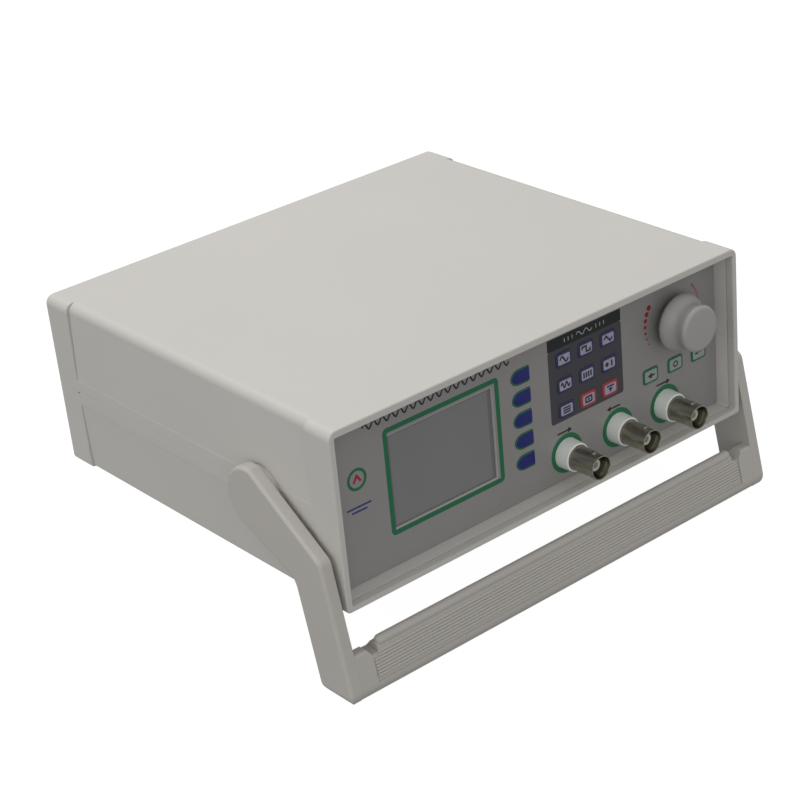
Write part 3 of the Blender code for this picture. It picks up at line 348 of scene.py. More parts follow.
def turned(profile, place, direction=(0, -1, 0), segments=64):
    """A profile of (radius, height) points turned about an axis. It closes on the axis or on itself."""
    bm = bmesh.new()
    rings = []
    for radius, height in profile:
        if radius:
            ring = [bm.verts.new((x, y, height)) for x, y in circle(0, 0, radius, segments)]
        else:
            ring = [bm.verts.new((0, 0, height))]
        rings.append(ring)
    pairs = list(zip(rings, rings[1:]))
    if profile[0][0] and profile[-1][0]:
        pairs.append((rings[-1], rings[0]))
    for one, other in pairs:
        for i in range(segments):
            if len(one) == 1:
                corners = (one[0], other[i - 1], other[i])
            elif len(other) == 1:
                corners = (one[i - 1], other[0], one[i])
            else:
                corners = (one[i - 1], other[i - 1], other[i], one[i])
            bm.faces.new(corners)
    bmesh.ops.recalc_face_normals(bm, faces=bm.faces)
    turn = Vector(direction).to_track_quat("Z", "Y").to_matrix().to_4x4()
    bm.transform(Matrix.Translation(place) @ turn)
    return mesh_from(bm)


def arc(centre, radius, start, end, steps=6):
    """Points of an arc between two angles in degrees."""
    points = []
    for k in range(steps + 1):
        angle = math.radians(start + (end - start) * k / steps)
        points.append((centre[0] + radius * math.cos(angle), centre[1] + radius * math.sin(angle)))
    return points


def block(low, high):
    """A box between two corners."""
    low, high = Vector(low), Vector(high)
    bm = bmesh.new()
    place = Matrix.Translation((low + high) / 2) @ Matrix.Diagonal((*(high - low), 1))
    bmesh.ops.create_cube(bm, size=1, matrix=place)
    return mesh_from(bm)


def loft(sections):
    """A closed skin over sections that have equally many (x, y, z) points."""
    bm = bmesh.new()
    loops = [[bm.verts.new(point) for point in section] for section in sections]
    for one, other in zip(loops, loops[1:]):
        for i in range(len(one)):
            bm.faces.new((one[i - 1], one[i], other[i], other[i - 1]))
    bm.faces.new(loops[0])
    bm.faces.new(loops[-1])
    bmesh.ops.recalc_face_normals(bm, faces=bm.faces)
    return mesh_from(bm)


def prism(outline, x_low, x_high, bevels=(0.0, 0.0), steps=4):
    """An outline in (y, z) between two x values, with its two rims rounded by their own radii."""
    rings = []
    for x, inward, radius in ((x_low, 1, bevels[0]), (x_high, -1, bevels[1])):
        side = []
        if radius:
            for k in range(steps + 1):
                angle = math.pi / 2 * k / steps
                side.append((x + inward * radius * (1 - math.cos(angle)), radius * (1 - math.sin(angle))))
        else:
            side.append((x, 0.0))
        rings += side if inward > 0 else side[::-1]
    return loft([[(x, y, z) for y, z in inset_outline(outline, inset)] for x, inset in rings])


def inset_outline(outline, inset):
    """An outline moved inwards by a distance, corner by corner."""
    points = [Vector(p) for p in outline]
    if not inset:
        return points
    area = sum(a.x * b.y - b.x * a.y for a, b in zip(points, points[1:] + points[:1]))
    turn = 1 if area > 0 else -1
    moved = []
    for i, here in enumerate(points):
        before = (here - points[i - 1]).normalized()
        after = (points[(i + 1) % len(points)] - here).normalized()
        normal_a = Vector((-before.y, before.x)) * turn
        normal_b = Vector((-after.y, after.x)) * turn
        along = (normal_a + normal_b).normalized()
        moved.append(here + along * inset / max(along.dot(normal_a), 0.5))
    return moved


def combine(first, others, operation="UNION", solver="EXACT"):
    """One mesh joined to, cut by or kept within others."""
    target = bpy.data.objects.new("target", first)
    helpers = []
    for mesh in others:
        helper = bpy.data.objects.new("helper", mesh)
        helper.hide_render = True
        bpy.context.scene.collection.objects.link(helper)
        helpers.append(helper)
        step = target.modifiers.new("step", "BOOLEAN")
        step.object = helper
        step.operation = operation
        step.solver = solver
    made = evaluated(target)
    for helper in helpers:
        bpy.data.objects.remove(helper, do_unlink=True)
    return made


def piece(name, parts, slot=None, replaces=(), angle=35.0, weighted=False):
    """One visible piece made from (mesh, material) parts. It rides with the nodes that it replaces."""
    bm = bmesh.new()
    finishes = []
    for mesh, finish in parts:
        if finish not in finishes:
            finishes.append(finish)
        start = len(bm.faces)
        bm.from_mesh(mesh)
        bm.faces.ensure_lookup_table()
        for face in bm.faces[start:]:
            face.material_index = finishes.index(finish)
    bm.transform(LEVEL)
    mesh = mesh_from(bm, name)
    for finish in finishes:
        mesh.materials.append(finish)
    mesh.shade_smooth()
    mesh.set_sharp_from_angle(angle=math.radians(angle))
    made = bpy.data.objects.new(name, mesh)
    bpy.context.scene.collection.objects.link(made)
    if weighted:
        normals = made.modifiers.new("flat_faces", "WEIGHTED_NORMAL")
        normals.keep_sharp = True
    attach(made, NODES[replaces[0]]["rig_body"] if replaces else "case")
    if replaces:
        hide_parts(*replaces)
    return made


# ---- case covers
TOP_CORNER, BOTTOM_CORNER = 3.6, 1.6
REAR_LEAN = 0.02
BAND_FRONT_Y, BAND_REAR_Y = 14.0, 163.0
BELT_LOW, BELT_HIGH = 28.0, 38.7
RECESS_AT_BELT, RECESS_AT_EDGE = 0.12, 1.2
RISER_GROOVE, RIM_GROOVE = 0.5, 0.4
RIM_HALF, RIM_LOW, RIM_HIGH, RIM_STRAIGHT = 97.5, 2.3, 67.9, 3.2
OPENING_HALF, OPENING_LOW, OPENING_HIGH = 96.0, 3.3, 67.0
FRONT_ROUND, REAR_ROUND, RIM_EASE = 0.7, 1.2, 0.25
INNER_CHAMFER = 0.4
SEAM = 0.03


def outer_half(top, inset, recess, groove):
    """The outer outline of one cover from its left parting edge to its right one.

    inset moves it inwards at a rounded end, recess is the share of the side recess, 0 to 1, and
    groove cuts the recessed part of the side deeper.
    """
    sign = 1 if top else -1
    parting = PARTING_Z + sign * SEAM
    belt = BELT_HIGH if top else BELT_LOW
    edge = HEIGHT - inset if top else inset
    belt_x = HALF_WIDTH - inset
    inner_x = belt_x - RECESS_AT_BELT * recess - groove
    corner_x = belt_x - RECESS_AT_EDGE * recess - groove
    radius = max((TOP_CORNER if top else BOTTOM_CORNER) - inset, 0.5)
    side = [
        (belt_x - 0.12, parting),
        (belt_x, parting + sign * 0.15),
        (belt_x, belt - sign * 0.25),
        (belt_x - 0.10 * recess, belt - sign * 0.05),
        (inner_x, belt + sign * 0.22),
    ]
    arc_z = edge - sign * radius
    side.append((corner_x, arc_z))
    for k in range(1, 9):
        angle = math.pi / 2 * k / 8
        side.append((corner_x - radius + radius * math.cos(angle), arc_z + sign * radius * math.sin(angle)))
    return mirrored([(-x, z) for x, z in side])


def inner_half(top, half, low, high):
    """The inner outline from the right parting edge back to the left one."""
    sign = 1 if top else -1
    parting = PARTING_Z + sign * SEAM
    edge = high if top else low
    return mirrored([(half, parting), (half, edge - sign * INNER_CHAMFER), (half - INNER_CHAMFER, edge)])


def cover_mesh(top):
    """One cover as closed sections that follow one another from the front rim to the rear one."""
    levels = []
    rim = (RIM_HALF, RIM_LOW, RIM_HIGH)
    opening = (OPENING_HALF, OPENING_LOW, OPENING_HIGH)
    for k in range(4):
        angle = math.pi / 2 * k / 3
        inset = FRONT_ROUND * (1 - math.sin(angle))
        levels.append((FRONT_ROUND * (1 - math.cos(angle)), inset, 0.0, 0.0, rim, RIM_EASE * (1 - k / 3)))
    for y, groove in ((0.0, 0.0), (0.06, RIM_GROOVE), (0.42, RIM_GROOVE), (0.50, 0.0)):
        levels.append((RIM_STRAIGHT + y, 0.0, 0.0, 0.0, rim, groove))
    levels.append((PANEL_Y, 0.0, 0.0, 0.0, opening, 0.0))
    for y, share in ((-0.25, 0.0), (-0.05, 0.12), (0.05, 0.85), (0.30, 1.0)):
        levels.append((BAND_FRONT_Y + y, 0.0, share, 0.0, opening, 0.0))
    for y, share, groove in (
        (-0.48, 1.0, 0.0),
        (-0.40, 1.0, RISER_GROOVE),
        (-0.06, 1.0, RISER_GROOVE),
        (0.0, 0.85, 0.0),
        (0.05, 0.12, 0.0),
        (0.25, 0.0, 0.0),
    ):
        levels.append((BAND_REAR_Y + y, 0.0, share, groove, opening, 0.0))
    for k in range(4, -1, -1):
        angle = math.pi / 2 * k / 4
        y = DEPTH - REAR_ROUND * (1 - math.cos(angle))
        levels.append((y, REAR_ROUND * (1 - math.sin(angle)), 0.0, 0.0, opening, 0.0))
    sections = []
    for y, inset, recess, groove, (half, low, high), eased in levels:
        section = outer_half(top, inset, recess, groove)
        section += inner_half(top, half + eased, low - eased, high + eased)
        lean = REAR_LEAN if y > DEPTH - 2 * REAR_ROUND else 0.0
        sections.append([(x, y + lean * z, z) for x, z in section])
    return loft(sections)


HUB_RADIUS, DISC_RADIUS = 12.5, 10.8
SCREWS = [(side * 80.0, y) for side in (-1, 1) for y in (36.0, 137.0)]
SCREW_NODES = [
    f"{place}_case_screw" for place in ("front_left", "rear_left", "front_right", "rear_right")
]
SEAT_X, SEAT_RADIUS, CUT_DEPTH = 98.5, DISC_RADIUS + 0.2, 4.0
WELL_RADIUS, HEAD_Z = 3.2, 1.4
FOOT_X, FRONT_FOOT_Y, REAR_FOOT_Y = 82.0, 20.0, 159.0


def make_covers():
    """Two shells with seats for the hub discs, wells for the screws and a notch at each rear parting."""
    seats = []
    for side in (-1, 1):
        disc = [(0, 0), (SEAT_RADIUS, 0), (SEAT_RADIUS, CUT_DEPTH), (0, CUT_DEPTH)]
        seats.append(turned(disc, (side * SEAT_X, PIVOT_Y, PIVOT_Z), (side, 0, 0), 72))
    well = [(0, -1), (WELL_RADIUS, -1), (WELL_RADIUS, CUT_DEPTH), (0, CUT_DEPTH)]
    wells = [turned(well, (x, y, 0), (0, 0, 1), 32) for x, y in SCREWS]
    top = combine(cover_mesh(True), seats, "DIFFERENCE")
    notches = []
    for side in (-1, 1):
        near, far = sorted((side * 99.2, side * 101.0))
        notches.append(block((near, BAND_REAR_Y - 0.4, 32.9), (far, BAND_REAR_Y + 1.2, 34.0)))
    bottom = combine(cover_mesh(False), seats + wells + notches, "DIFFERENCE")
    looks = {"slot": "case_plastic", "angle": 28, "weighted": True}
    piece("top_shell", [(top, CASE)], replaces=["top_cover"], **looks)
    piece("bottom_shell", [(bottom, CASE)], replaces=["bottom_cover"], **looks)


make_covers()


def make_screws():
    """Pan heads with a cross recess, deep in their wells."""
    for (x, y), node in zip(SCREWS, SCREW_NODES):
        head = [(0, -2.6), (2.9, -2.6), (2.9, -1.7)] + arc((1.4, -1.5), 1.3, 15, 90, 4) + [(0, -0.05)]
        head = turned(head, (x, y, HEAD_Z), (0, 0, -1), 40)
        slots = [block((x - a, y - b, 1.0), (x + a, y + b, 2.4)) for a, b in ((1.6, 0.3), (0.3, 1.6))]
        shank = turned([(0, -43), (1.45, -43), (1.45, -2.0), (0, -2.0)], (x, y, HEAD_Z), (0, 0, -1), 24)
        made = combine(combine(head, slots, "DIFFERENCE"), [shank])
        piece(node.replace("_case_screw", "_screw_head"), [(made, STEEL)], slot="steel", replaces=[node])


make_screws()


def make_feet():
    """Soft round pads with a moulded groove and a dished middle."""
    for node in ("front_left_foot", "front_right_foot", "rear_left_foot", "rear_right_foot"):
        x = -FOOT_X if "left" in node else FOOT_X
        y = FRONT_FOOT_Y if "front" in node else REAR_FOOT_Y
        profile = [(0, 0.2), (6.0, 0.2), (6.0, 0.9), (5.75, 1.05), (5.75, 1.3), (6.0, 1.45)]
        profile += arc((5.45, 1.95), 0.55, 0, 90, 4)
        profile += [(3.2, 2.5), (2.9, 2.2), (1.2, 2.1), (0, 2.1)]
        pad = turned(profile, (x, y, 0), (0, 0, -1), 48)
        piece(node + "_pad", [(pad, RUBBER)], slot="rubber", replaces=[node])


make_feet()

# ---- front panel
FILM_WIDTH, FILM_HEIGHT, FILM_Z = 191.6, 63.3, 35.15
WINDOW = (-69.4, -20.3, 17.7, 54.9)
WINDOW_X, WINDOW_Z = (WINDOW[0] + WINDOW[1]) / 2, (WINDOW[2] + WINDOW[3]) / 2
WINDOW_WIDTH, WINDOW_HEIGHT = WINDOW[1] - WINDOW[0], WINDOW[3] - WINDOW[2]
DISPLAY_FRAME = (-71.2, -17.2, 15.5, 57.9)
BADGE_X, BADGE_Z = -84.0, 44.0
FIELD_X, FIELD_Z, FIELD_WIDTH, FIELD_HEIGHT = 26.1, 42.8, 37.6, 29.8
HEADER_Z, HEADER_HEIGHT = 60.1, 4.8
SOFTKEY_X, SOFTKEY_TOP_Z, SOFTKEY_PITCH = -6.45, 53.8, 8.68
SOFTKEY_LEFT, SOFTKEY_RIGHT, SOFTKEY_HALF_HEIGHT, SOFTKEY_BORDER = -4.75, 4.35, 3.15, 0.57
KEYPAD_X, KEYPAD_Z = (15.1, 26.4, 37.8), (52.9, 42.4, 32.1)
KEYPAD_SIZE = (7.9, 5.9)
ARROW_KEYS = (("arrow_left_key", 59.5), ("confirm_key", 73.0), ("arrow_right_key", 86.0))
ARROW_Z, ARROW_SIZE = 29.1, (8.1, 6.2)
KEY_GAP = 0.10
KNOB_X, KNOB_Z = 72.3, 48.2
KNOB_REAR_Y = 5.2
DIAL_Z, DIAL_RADIUS = 49.2, 14.7
BNC_X, BNC_Z, SIGNAL_Z = (14.1, 40.9, 66.7), 14.2, 23.3


def softkey_outline(z, grow=0.0, border=0.0):
    """A bullet that points to the left. The border is taken off all its edges but the right one."""
    left, right = SOFTKEY_LEFT - grow + border, SOFTKEY_RIGHT + grow
    half_z = SOFTKEY_HALF_HEIGHT + grow - border
    nose = 4.1 + grow - border
    start = left + nose
    corners = [(start, -half_z, 0), (right, -half_z, 0.7), (right, half_z, 0.7), (start, half_z, 0)]
    points = rounded(corners, 4)
    for k in range(1, 14):
        angle = math.pi / 2 + math.pi * k / 14
        points.append(Vector((start + nose * math.cos(angle), half_z * math.sin(angle))))
    return [Vector((SOFTKEY_X, z)) + p for p in points]


def key_table():
    """Every key as (node, outline as a function of grow, x, z)."""
    table = []
    for i in range(5):
        z = SOFTKEY_TOP_Z - i * SOFTKEY_PITCH
        table.append((f"softkey_{i + 1}", lambda grow, z=z: softkey_outline(z, grow), SOFTKEY_X, z))
    for row, z in enumerate(KEYPAD_Z):
        for column, x in enumerate(KEYPAD_X):
            name = f"function_key_{row * 3 + column + 1}"
            table.append((name, lambda grow, x=x, z=z: key_outline(x, z, KEYPAD_SIZE, grow), x, z))
    for name, x in ARROW_KEYS:
        table.append((name, lambda grow, x=x: key_outline(x, ARROW_Z, ARROW_SIZE, grow), x, ARROW_Z))
    return table


def key_outline(x, z, size, grow):
    return rectangle(x, z, size[0] + 2 * grow, size[1] + 2 * grow, max(1.3 + grow, 0.15))


KEYS = key_table()


def ring(x, z, width, height, radius, line):
    """Two outlines that bound a printed frame."""
    inner = rectangle(x, z, width - 2 * line, height - 2 * line, max(radius - line, 0.1))
    return [rectangle(x, z, width, height, radius), inner]


def stroke(points, width):
    """The outline of a printed line of even width through some points."""
    points = [Vector(p) for p in points]
    left, right = [], []
    for i, here in enumerate(points):
        before = (here - points[i - 1]).normalized() if i else (points[1] - here).normalized()
        after = (points[i + 1] - here).normalized() if i < len(points) - 1 else before
        along = (before + after).normalized()
        normal = Vector((-along.y, along.x)) * width / 2 / max(along.dot(before), 0.45)
        left.append(here + normal)
        right.append(here - normal)
    return left + right[::-1]


def printed(outlines, height=PRINT_HEIGHT, face_y=PANEL_Y):
    """Thin ink on a surface that faces the front."""
    return sheet(outlines, face_y - height, face_y + 0.01)


def sine(x, z, width, height, periods=1.0, steps=24):
    points = []
    for k in range(steps + 1):
        share = k / steps
        points.append((x + (share - 0.5) * width, z + height / 2 * math.sin(2 * math.pi * periods * share)))
    return points


def square_wave(x, z, w, h):
    left, right, high, low = x - w / 2, x + w / 2, z + h / 2, z - h / 2
    return [(left, z), (left, high), (x, high), (x, low), (right, low), (right, z)]


def triangle_wave(x, z, w, h):
    return [(x - w / 2, z), (x - w / 4, z + h / 2), (x + w / 4, z - h / 2), (x + w / 2, z)]


def make_film():
    """The film, with openings for the display, the keys, the knob's shaft and the sockets."""
    window = rectangle(WINDOW_X, WINDOW_Z, WINDOW_WIDTH, WINDOW_HEIGHT, 0.6)
    outlines = [rectangle(0, FILM_Z, FILM_WIDTH, FILM_HEIGHT, 0.5), window]
    outlines += [outline(KEY_GAP) for _, outline, _, _ in KEYS]
    outlines.append(circle(KNOB_X, KNOB_Z, 4.7))
    outlines += [circle(x, BNC_Z, 5.1) for x in BNC_X]
    film = sheet(outlines, PANEL_Y, PANEL_Y + 0.5)
    edges = []
    for gap, radius in ((0.04, 0.55), (0.28, 0.45)):
        edges.append(rectangle(WINDOW_X, WINDOW_Z, WINDOW_WIDTH - gap, WINDOW_HEIGHT - gap, radius))
    lip = sheet(edges, PANEL_Y + 0.02, PANEL_Y + 1.0)
    piece("panel_film_sheet", [(film, FILM)], slot="panel_film", replaces=["front_overlay"])
    piece("window_lip", [(lip, FILM_EDGE)], slot="panel_film")


def print_on_film(name, groups, finish, height=PRINT_HEIGHT):
    """One piece of ink made from groups of outlines."""
    piece(name, [(printed(outlines, height), finish) for outlines in groups], slot="panel_film")


def make_prints():
    """Frames, rings, dots and plain marks printed on the film."""
    x_low, x_high, z_low, z_high = DISPLAY_FRAME
    frame_x, frame_z = (x_low + x_high) / 2, (z_low + z_high) / 2
    green = [ring(frame_x, frame_z, x_high - x_low, z_high - z_low, 1.9, 1.9)]
    for x in BNC_X:
        green.append([circle(x, BNC_Z, 8.0, 64), circle(x, BNC_Z, 5.4, 64)])
    green.append([circle(BADGE_X, BADGE_Z, 4.3), circle(BADGE_X, BADGE_Z, 3.2)])
    print_on_film("green_markings", green, GREEN_PRINT)

    keypad = [rectangle(FIELD_X, FIELD_Z, FIELD_WIDTH, FIELD_HEIGHT, 1.2)]
    keypad += [key_outline(x, z, KEYPAD_SIZE, KEY_GAP) for x in KEYPAD_X for z in KEYPAD_Z]
    header = [rectangle(FIELD_X, HEADER_Z, FIELD_WIDTH, HEADER_HEIGHT, 0.3)]
    parts = [(printed(keypad, 0.03), KEYPAD_PRINT), (printed(header, 0.03), HEADER_PRINT)]
    piece("keypad_field", parts, slot="panel_film")
    pale = [[stroke([(x, 59.3), (x, 60.9)], 0.35)] for x in (16.0, 18.0, 20.0, 32.2, 34.2, 36.2)]
    pale.append([stroke(sine(FIELD_X, HEADER_Z, 8.0, 1.7, 2.0, 40), 0.35)])
    print_on_film("header_markings", pale, PALE_PRINT, 0.06)

    red = []
    for start, count, end, sizes in ((147, 7, 208, (2.2, 0.7)), (40, 6, 12, (1.0, 0.6))):
        for k in range(count):
            angle = math.radians(start + (end - start) * k / (count - 1))
            radius = (sizes[0] + (sizes[1] - sizes[0]) * k / (count - 1)) / 2
            place = (KNOB_X + DIAL_RADIUS * math.cos(angle), DIAL_Z + DIAL_RADIUS * math.sin(angle))
            red.append([circle(*place, radius, 20)])
    red.append([stroke([(-85.6, 42.9), (-84.0, 45.4), (-82.4, 42.9)], 0.9)])
    print_on_film("red_markings", red, RED_PRINT)

    dark = [[stroke(sine(-45.5, 61.9, 68.0, 2.4, 17.0, 272), 0.70)]]
    for x, pointing in zip(BNC_X, (1, -1, 1)):
        middle = x - 0.6
        dark.append([stroke([(middle - 3.6, SIGNAL_Z), (middle + 2.4, SIGNAL_Z)], 0.7)])
        tip = middle + (3.8 if pointing > 0 else -4.6)
        tail = tip - pointing * 1.9
        dark.append([[(tip, SIGNAL_Z), (tail, SIGNAL_Z + 1.15), (tail, SIGNAL_Z - 1.15)]])
    print_on_film("dark_markings", dark, DARK_PRINT)
    blue = [[rectangle(-84.2, 33.4, 11.0, 0.7, 0.3)], [rectangle(-84.2, 31.7, 7.0, 0.7, 0.3)]]
    print_on_film("blue_markings", blue, BLUE_PRINT)


LEGENDS = {
    "function_key_1": lambda x, z: [stroke(sine(x, z, 4.2, 2.3), 0.75)],
    "function_key_2": lambda x, z: [stroke(square_wave(x, z, 4.0, 2.2), 0.75)],
    "function_key_3": lambda x, z: [stroke(triangle_wave(x, z, 4.2, 2.3), 0.75)],
    "function_key_4": lambda x, z: [stroke(sine(x, z, 4.4, 2.1, 2.0, 36), 0.65)],
    "function_key_5": lambda x, z: [rectangle(x + d, z, 0.75, 2.4, 0.2) for d in (-1.8, -0.6, 0.6, 1.8)],
    "function_key_6": lambda x, z: [circle(x - 1.2, z, 0.9, 20), rectangle(x + 1.3, z, 0.8, 2.5, 0.2)],
    "function_key_7": lambda x, z: [rectangle(x, z + d, 3.8, 0.65, 0.2) for d in (-1.0, 0.0, 1.0)],
    "function_key_8": lambda x, z: [*ring(x, z, 3.8, 2.8, 0.6, 0.7), circle(x, z, 0.5, 16)],
    "function_key_9": lambda x, z: [
        stroke([(x - 1.9, z + 1.1), (x + 1.9, z + 1.1)], 0.65),
        arrow(x, z - 0.4, -90, 1.1),
    ],
    "arrow_left_key": lambda x, z: [arrow(x - 0.5, z, 180, 1.3), rectangle(x + 1.2, z, 1.6, 0.7, 0.1)],
    "confirm_key": lambda x, z: [circle(x, z, radius, 28) for radius in (1.35, 0.8)],
    "arrow_right_key": lambda x, z: [arrow(x + 0.5, z, 0, 1.3), rectangle(x - 1.2, z, 1.6, 0.7, 0.1)],
}


def arrow(x, z, angle, size):
    """A solid triangle that points along an angle in degrees."""
    turn = Matrix.Rotation(math.radians(angle), 2)
    return [Vector((x, z)) + turn @ Vector(p) for p in ((size, 0), (-size * 0.7, size), (-size * 0.7, -size))]


def make_keys():
    """Low domes that carry their own frame and legend."""
    front, back = PANEL_Y - 0.3, PANEL_Y + 2.0
    for node, outline, x, z in KEYS:
        if node.startswith("softkey"):
            slot = "blue_key"
            dome = softkey_outline(z, 0.0, SOFTKEY_BORDER)
            parts = [
                (sheet([outline(-0.04)], front + 0.15, back, bevel=0.1), GREEN_PRINT),
                (sheet([dome], front, back - 0.5, bevel=0.2), BLUE_KEY),
            ]
        else:
            arrows = node.endswith("_key")
            size = ARROW_SIZE if arrows else KEYPAD_SIZE
            slot = "green_key" if arrows else "lavender_key"
            finish = GREEN_PRINT if arrows else RED_FRAME if node[-1] in "89" else BLUE_FRAME
            face = GREEN_FACE if arrows else KEY_FACE
            line = 0.85 if arrows else 1.0
            inner = rectangle(x, z, size[0] - 2 * line, size[1] - 2 * line, 0.6)
            parts = [
                (sheet([outline(0.0)], front, back, bevel=0.22), finish),
                (printed([inner], 0.05, front), face),
                (printed(LEGENDS[node](x, z), 0.08, front), DARK_PRINT),
            ]
        piece(node + "_cap", parts, slot=slot, replaces=[node])


def make_display():
    """The grey face of the display behind its clear window, inside a darker margin that is widest at the
    right.
    """
    width, height = WINDOW_WIDTH - 0.32, WINDOW_HEIGHT - 0.32
    border = rectangle(WINDOW_X, WINDOW_Z, width, height, 0.4)
    active = rectangle(WINDOW_X - 0.4, WINDOW_Z, width - 2.8, height - 1.8, 0.1)
    parts = [
        (sheet([border], PANEL_Y + 0.90, PANEL_Y + 1.4), DISPLAY_EDGE),
        (sheet([active], PANEL_Y + 0.86, PANEL_Y + 1.1), DISPLAY),
    ]
    piece("display_face", parts, slot="window_plastic", replaces=["display_window"])


def make_knob():
    """A smooth knob whose waist flares out to a skirt that stands off the panel."""
    cap = arc((7.7, 10.5), 1.5, 90, 0, 7)
    waist = [(9.05, 9.7), (8.8, 8.8), (8.65, 7.9), (8.6, 7.0)]
    flare = [(8.75, 6.1), (9.2, 5.3), (9.9, 4.6), (10.6, 3.8)]
    skirt = [(11.1, 3.0), (11.4, 2.3)] + arc((10.7, 1.6), 0.8, 20, -40, 5)
    rear = [(11.0, 0.45), (10.3, 0.1), (9.6, 0.0)]
    pocket = [(6.0, 0.0), (6.0, 2.6), (3.4, 2.6), (3.4, 9.4), (0, 9.4)]
    profile = [(0, 12.0)] + cap + waist + flare + skirt + rear + pocket
    made = turned(profile, (KNOB_X, KNOB_REAR_Y, KNOB_Z), segments=96)
    piece("knob_cap", [(made, KNOB)], slot="knob_plastic", replaces=["knob"], angle=40)


def make_sockets():
    """Coaxial sockets: a white collar, a plated barrel with two bayonet studs, and a sleeved contact."""
    for i, x in enumerate(BNC_X):
        number = i + 1
        place = (x, PANEL_Y, BNC_Z)
        collar = [(5.05, 0.1), (6.1, 0.1), (6.05, 0.8), (5.75, 5.5)]
        collar += arc((5.35, 5.65), 0.4, 0, 80, 4) + [(5.05, 6.1)]
        made = turned(collar, place)
        piece(f"collar_{number}", [(made, WHITE)], slot="white_plastic", replaces=[f"bnc_collar_{number}"])
        barrel = [(4.3, 18.1), (4.4, 18.3), (4.6, 18.3), (4.75, 18.2), (4.8, 18.0), (4.8, -5.0), (2.7, -5.0)]
        barrel += [(2.7, 6.9), (4.2, 6.9)]
        shell = turned(barrel, place, segments=72)
        studs = []
        for side in (-1, 1):
            stud = [(0, 0.0), (1.0, 0.0), (1.0, 0.7), (0.85, 0.85), (0, 0.85)]
            studs.append(turned(stud, (x, PANEL_Y - 14.4, BNC_Z + side * 4.5), (0, 0, side), 24))
        shell = combine(shell, studs)
        behind = (x, PANEL_Y + 5.2, BNC_Z)
        nut = turned([(0, 0), (6.9, 0), (6.9, 2.2), (6.2, 2.5), (0, 2.5)], behind, segments=6)
        thread = turned([(0, -1), (4.7, -1), (4.7, 4), (0, 4)], behind, segments=48)
        parts = [(shell, NICKEL), (combine(nut, [thread], "DIFFERENCE"), NICKEL)]
        piece(f"barrel_{number}", parts, slot="nickel", replaces=[f"bnc_shell_{number}"])
        sleeve = [(1.15, 15.2), (2.25, 15.2), (2.4, 15.0), (2.4, 7.2), (2.6, 7.2), (2.6, 5.0), (1.15, 5.0)]
        contact = [(0.55, 12.6), (0.8, 12.8), (1.0, 12.6), (1.0, 5.2), (0.55, 5.2)]
        parts = [
            (turned(sleeve, place, segments=40), INSULATOR),
            (turned(contact, place, segments=32), BRASS),
        ]
        piece(f"contact_{number}", parts, slot="brass", replaces=[f"bnc_contact_{number}"])


make_film()
make_prints()
make_keys()
make_display()
make_knob()
make_sockets()

# ---- handle
FRONT_TOP_Y, FRONT_TOP_Z, FRONT_SLOPE = 4.0, 21.7, 0.206
ARM_INNER, ARM_OUTER = 101.9, 107.0
BAR_DEPTH, BAR_TOP_DEPTH = 8.5, 4.2
BAR_TOP_Z, BAR_SHOULDER_Z = -14.5, -18.5
LEDGE_Z = -27.6
TOE_RADIUS, FOOT_RADIUS = 5.0, 8.0
BAR_SETBACK = 0.12
BLOCK_INNER, BLOCK_OUTER = 94.4, 104.6
NOTCH_Z = -17.6
BEAD_RADIUS, BEAD_Z, BEAD_HALF = 1.95, -14.3, 91.0
RIB_RADIUS, RIB_PITCH, RIBS = 0.62, 1.18, 8
BELOW_ALL = -60


def front_line(z):
    """The y of the straight front line that the legs and the bar share."""
    return FRONT_TOP_Y + FRONT_SLOPE * (z - FRONT_TOP_Z)


def floor_line(y):
    """The z of the floor below the level case, which the rear feet's heels also touch."""
    return -2.5 + math.tan(TILT) * (y - 164.6)


def toe():
    """Where the front line meets the floor."""
    z = floor_line(front_line(0)) / (1 - math.tan(TILT) * FRONT_SLOPE)
    return front_line(z), z


def arm_outline():
    """A round end about the pivot, a slanted upper arm, a knee and a straight leg."""
    toe_y, toe_z = toe()
    hub = arc((PIVOT_Y, PIVOT_Z), HUB_RADIUS, 101, -65, 24)
    corners = [(y, z, 0) for y, z in hub] + [
        (20.3, 9.6, 7.0),
        (11.7, floor_line(11.7), 3.5),
        (toe_y, toe_z, TOE_RADIUS),
        (FRONT_TOP_Y, FRONT_TOP_Z, 4.0),
    ]
    return rounded(corners, 10)


def bar_outline(ribbed):
    """The section of the bar. Its ribbed part is set back from its front line."""
    toe_y, toe_z = toe()
    rear_y = front_line(toe_z) + BAR_DEPTH
    top_rear = (front_line(BAR_TOP_Z) + BAR_TOP_DEPTH, BAR_TOP_Z, 1.2)
    shoulder = (front_line(BAR_SHOULDER_Z) + BAR_DEPTH, BAR_SHOULDER_Z, 2.0)
    if not ribbed:
        front = (front_line(BAR_TOP_Z), BAR_TOP_Z, 1.6)
        heel = (rear_y, floor_line(rear_y), 2.0)
        return rounded([front, top_rear, shoulder, heel, (toe_y, toe_z, TOE_RADIUS)], 10)
    set_back, low_z = 0.85, LEDGE_Z - 1.5
    corners = [
        (front_line(low_z) + set_back, low_z, 0),
        (front_line(BEAD_Z - 1.2) + set_back, BEAD_Z - 1.2, 0),
        (front_line(BAR_TOP_Z) + BEAD_RADIUS, BAR_TOP_Z, 0),
        top_rear,
        shoulder,
        (front_line(low_z) + BAR_DEPTH - 0.3, low_z, 0),
    ]
    return rounded(corners, 8)


def capsule(half, y, z, radius, segments=20, steps=5):
    """A rod along x with round ends."""
    profile = arc((0, 2 * half - radius), radius, 90, 0, steps) + arc((0, radius), radius, 0, -90, steps)
    profile[0] = (0, profile[0][1])
    profile[-1] = (0, profile[-1][1])
    return turned(profile, (-half, y, z), (1, 0, 0), segments)


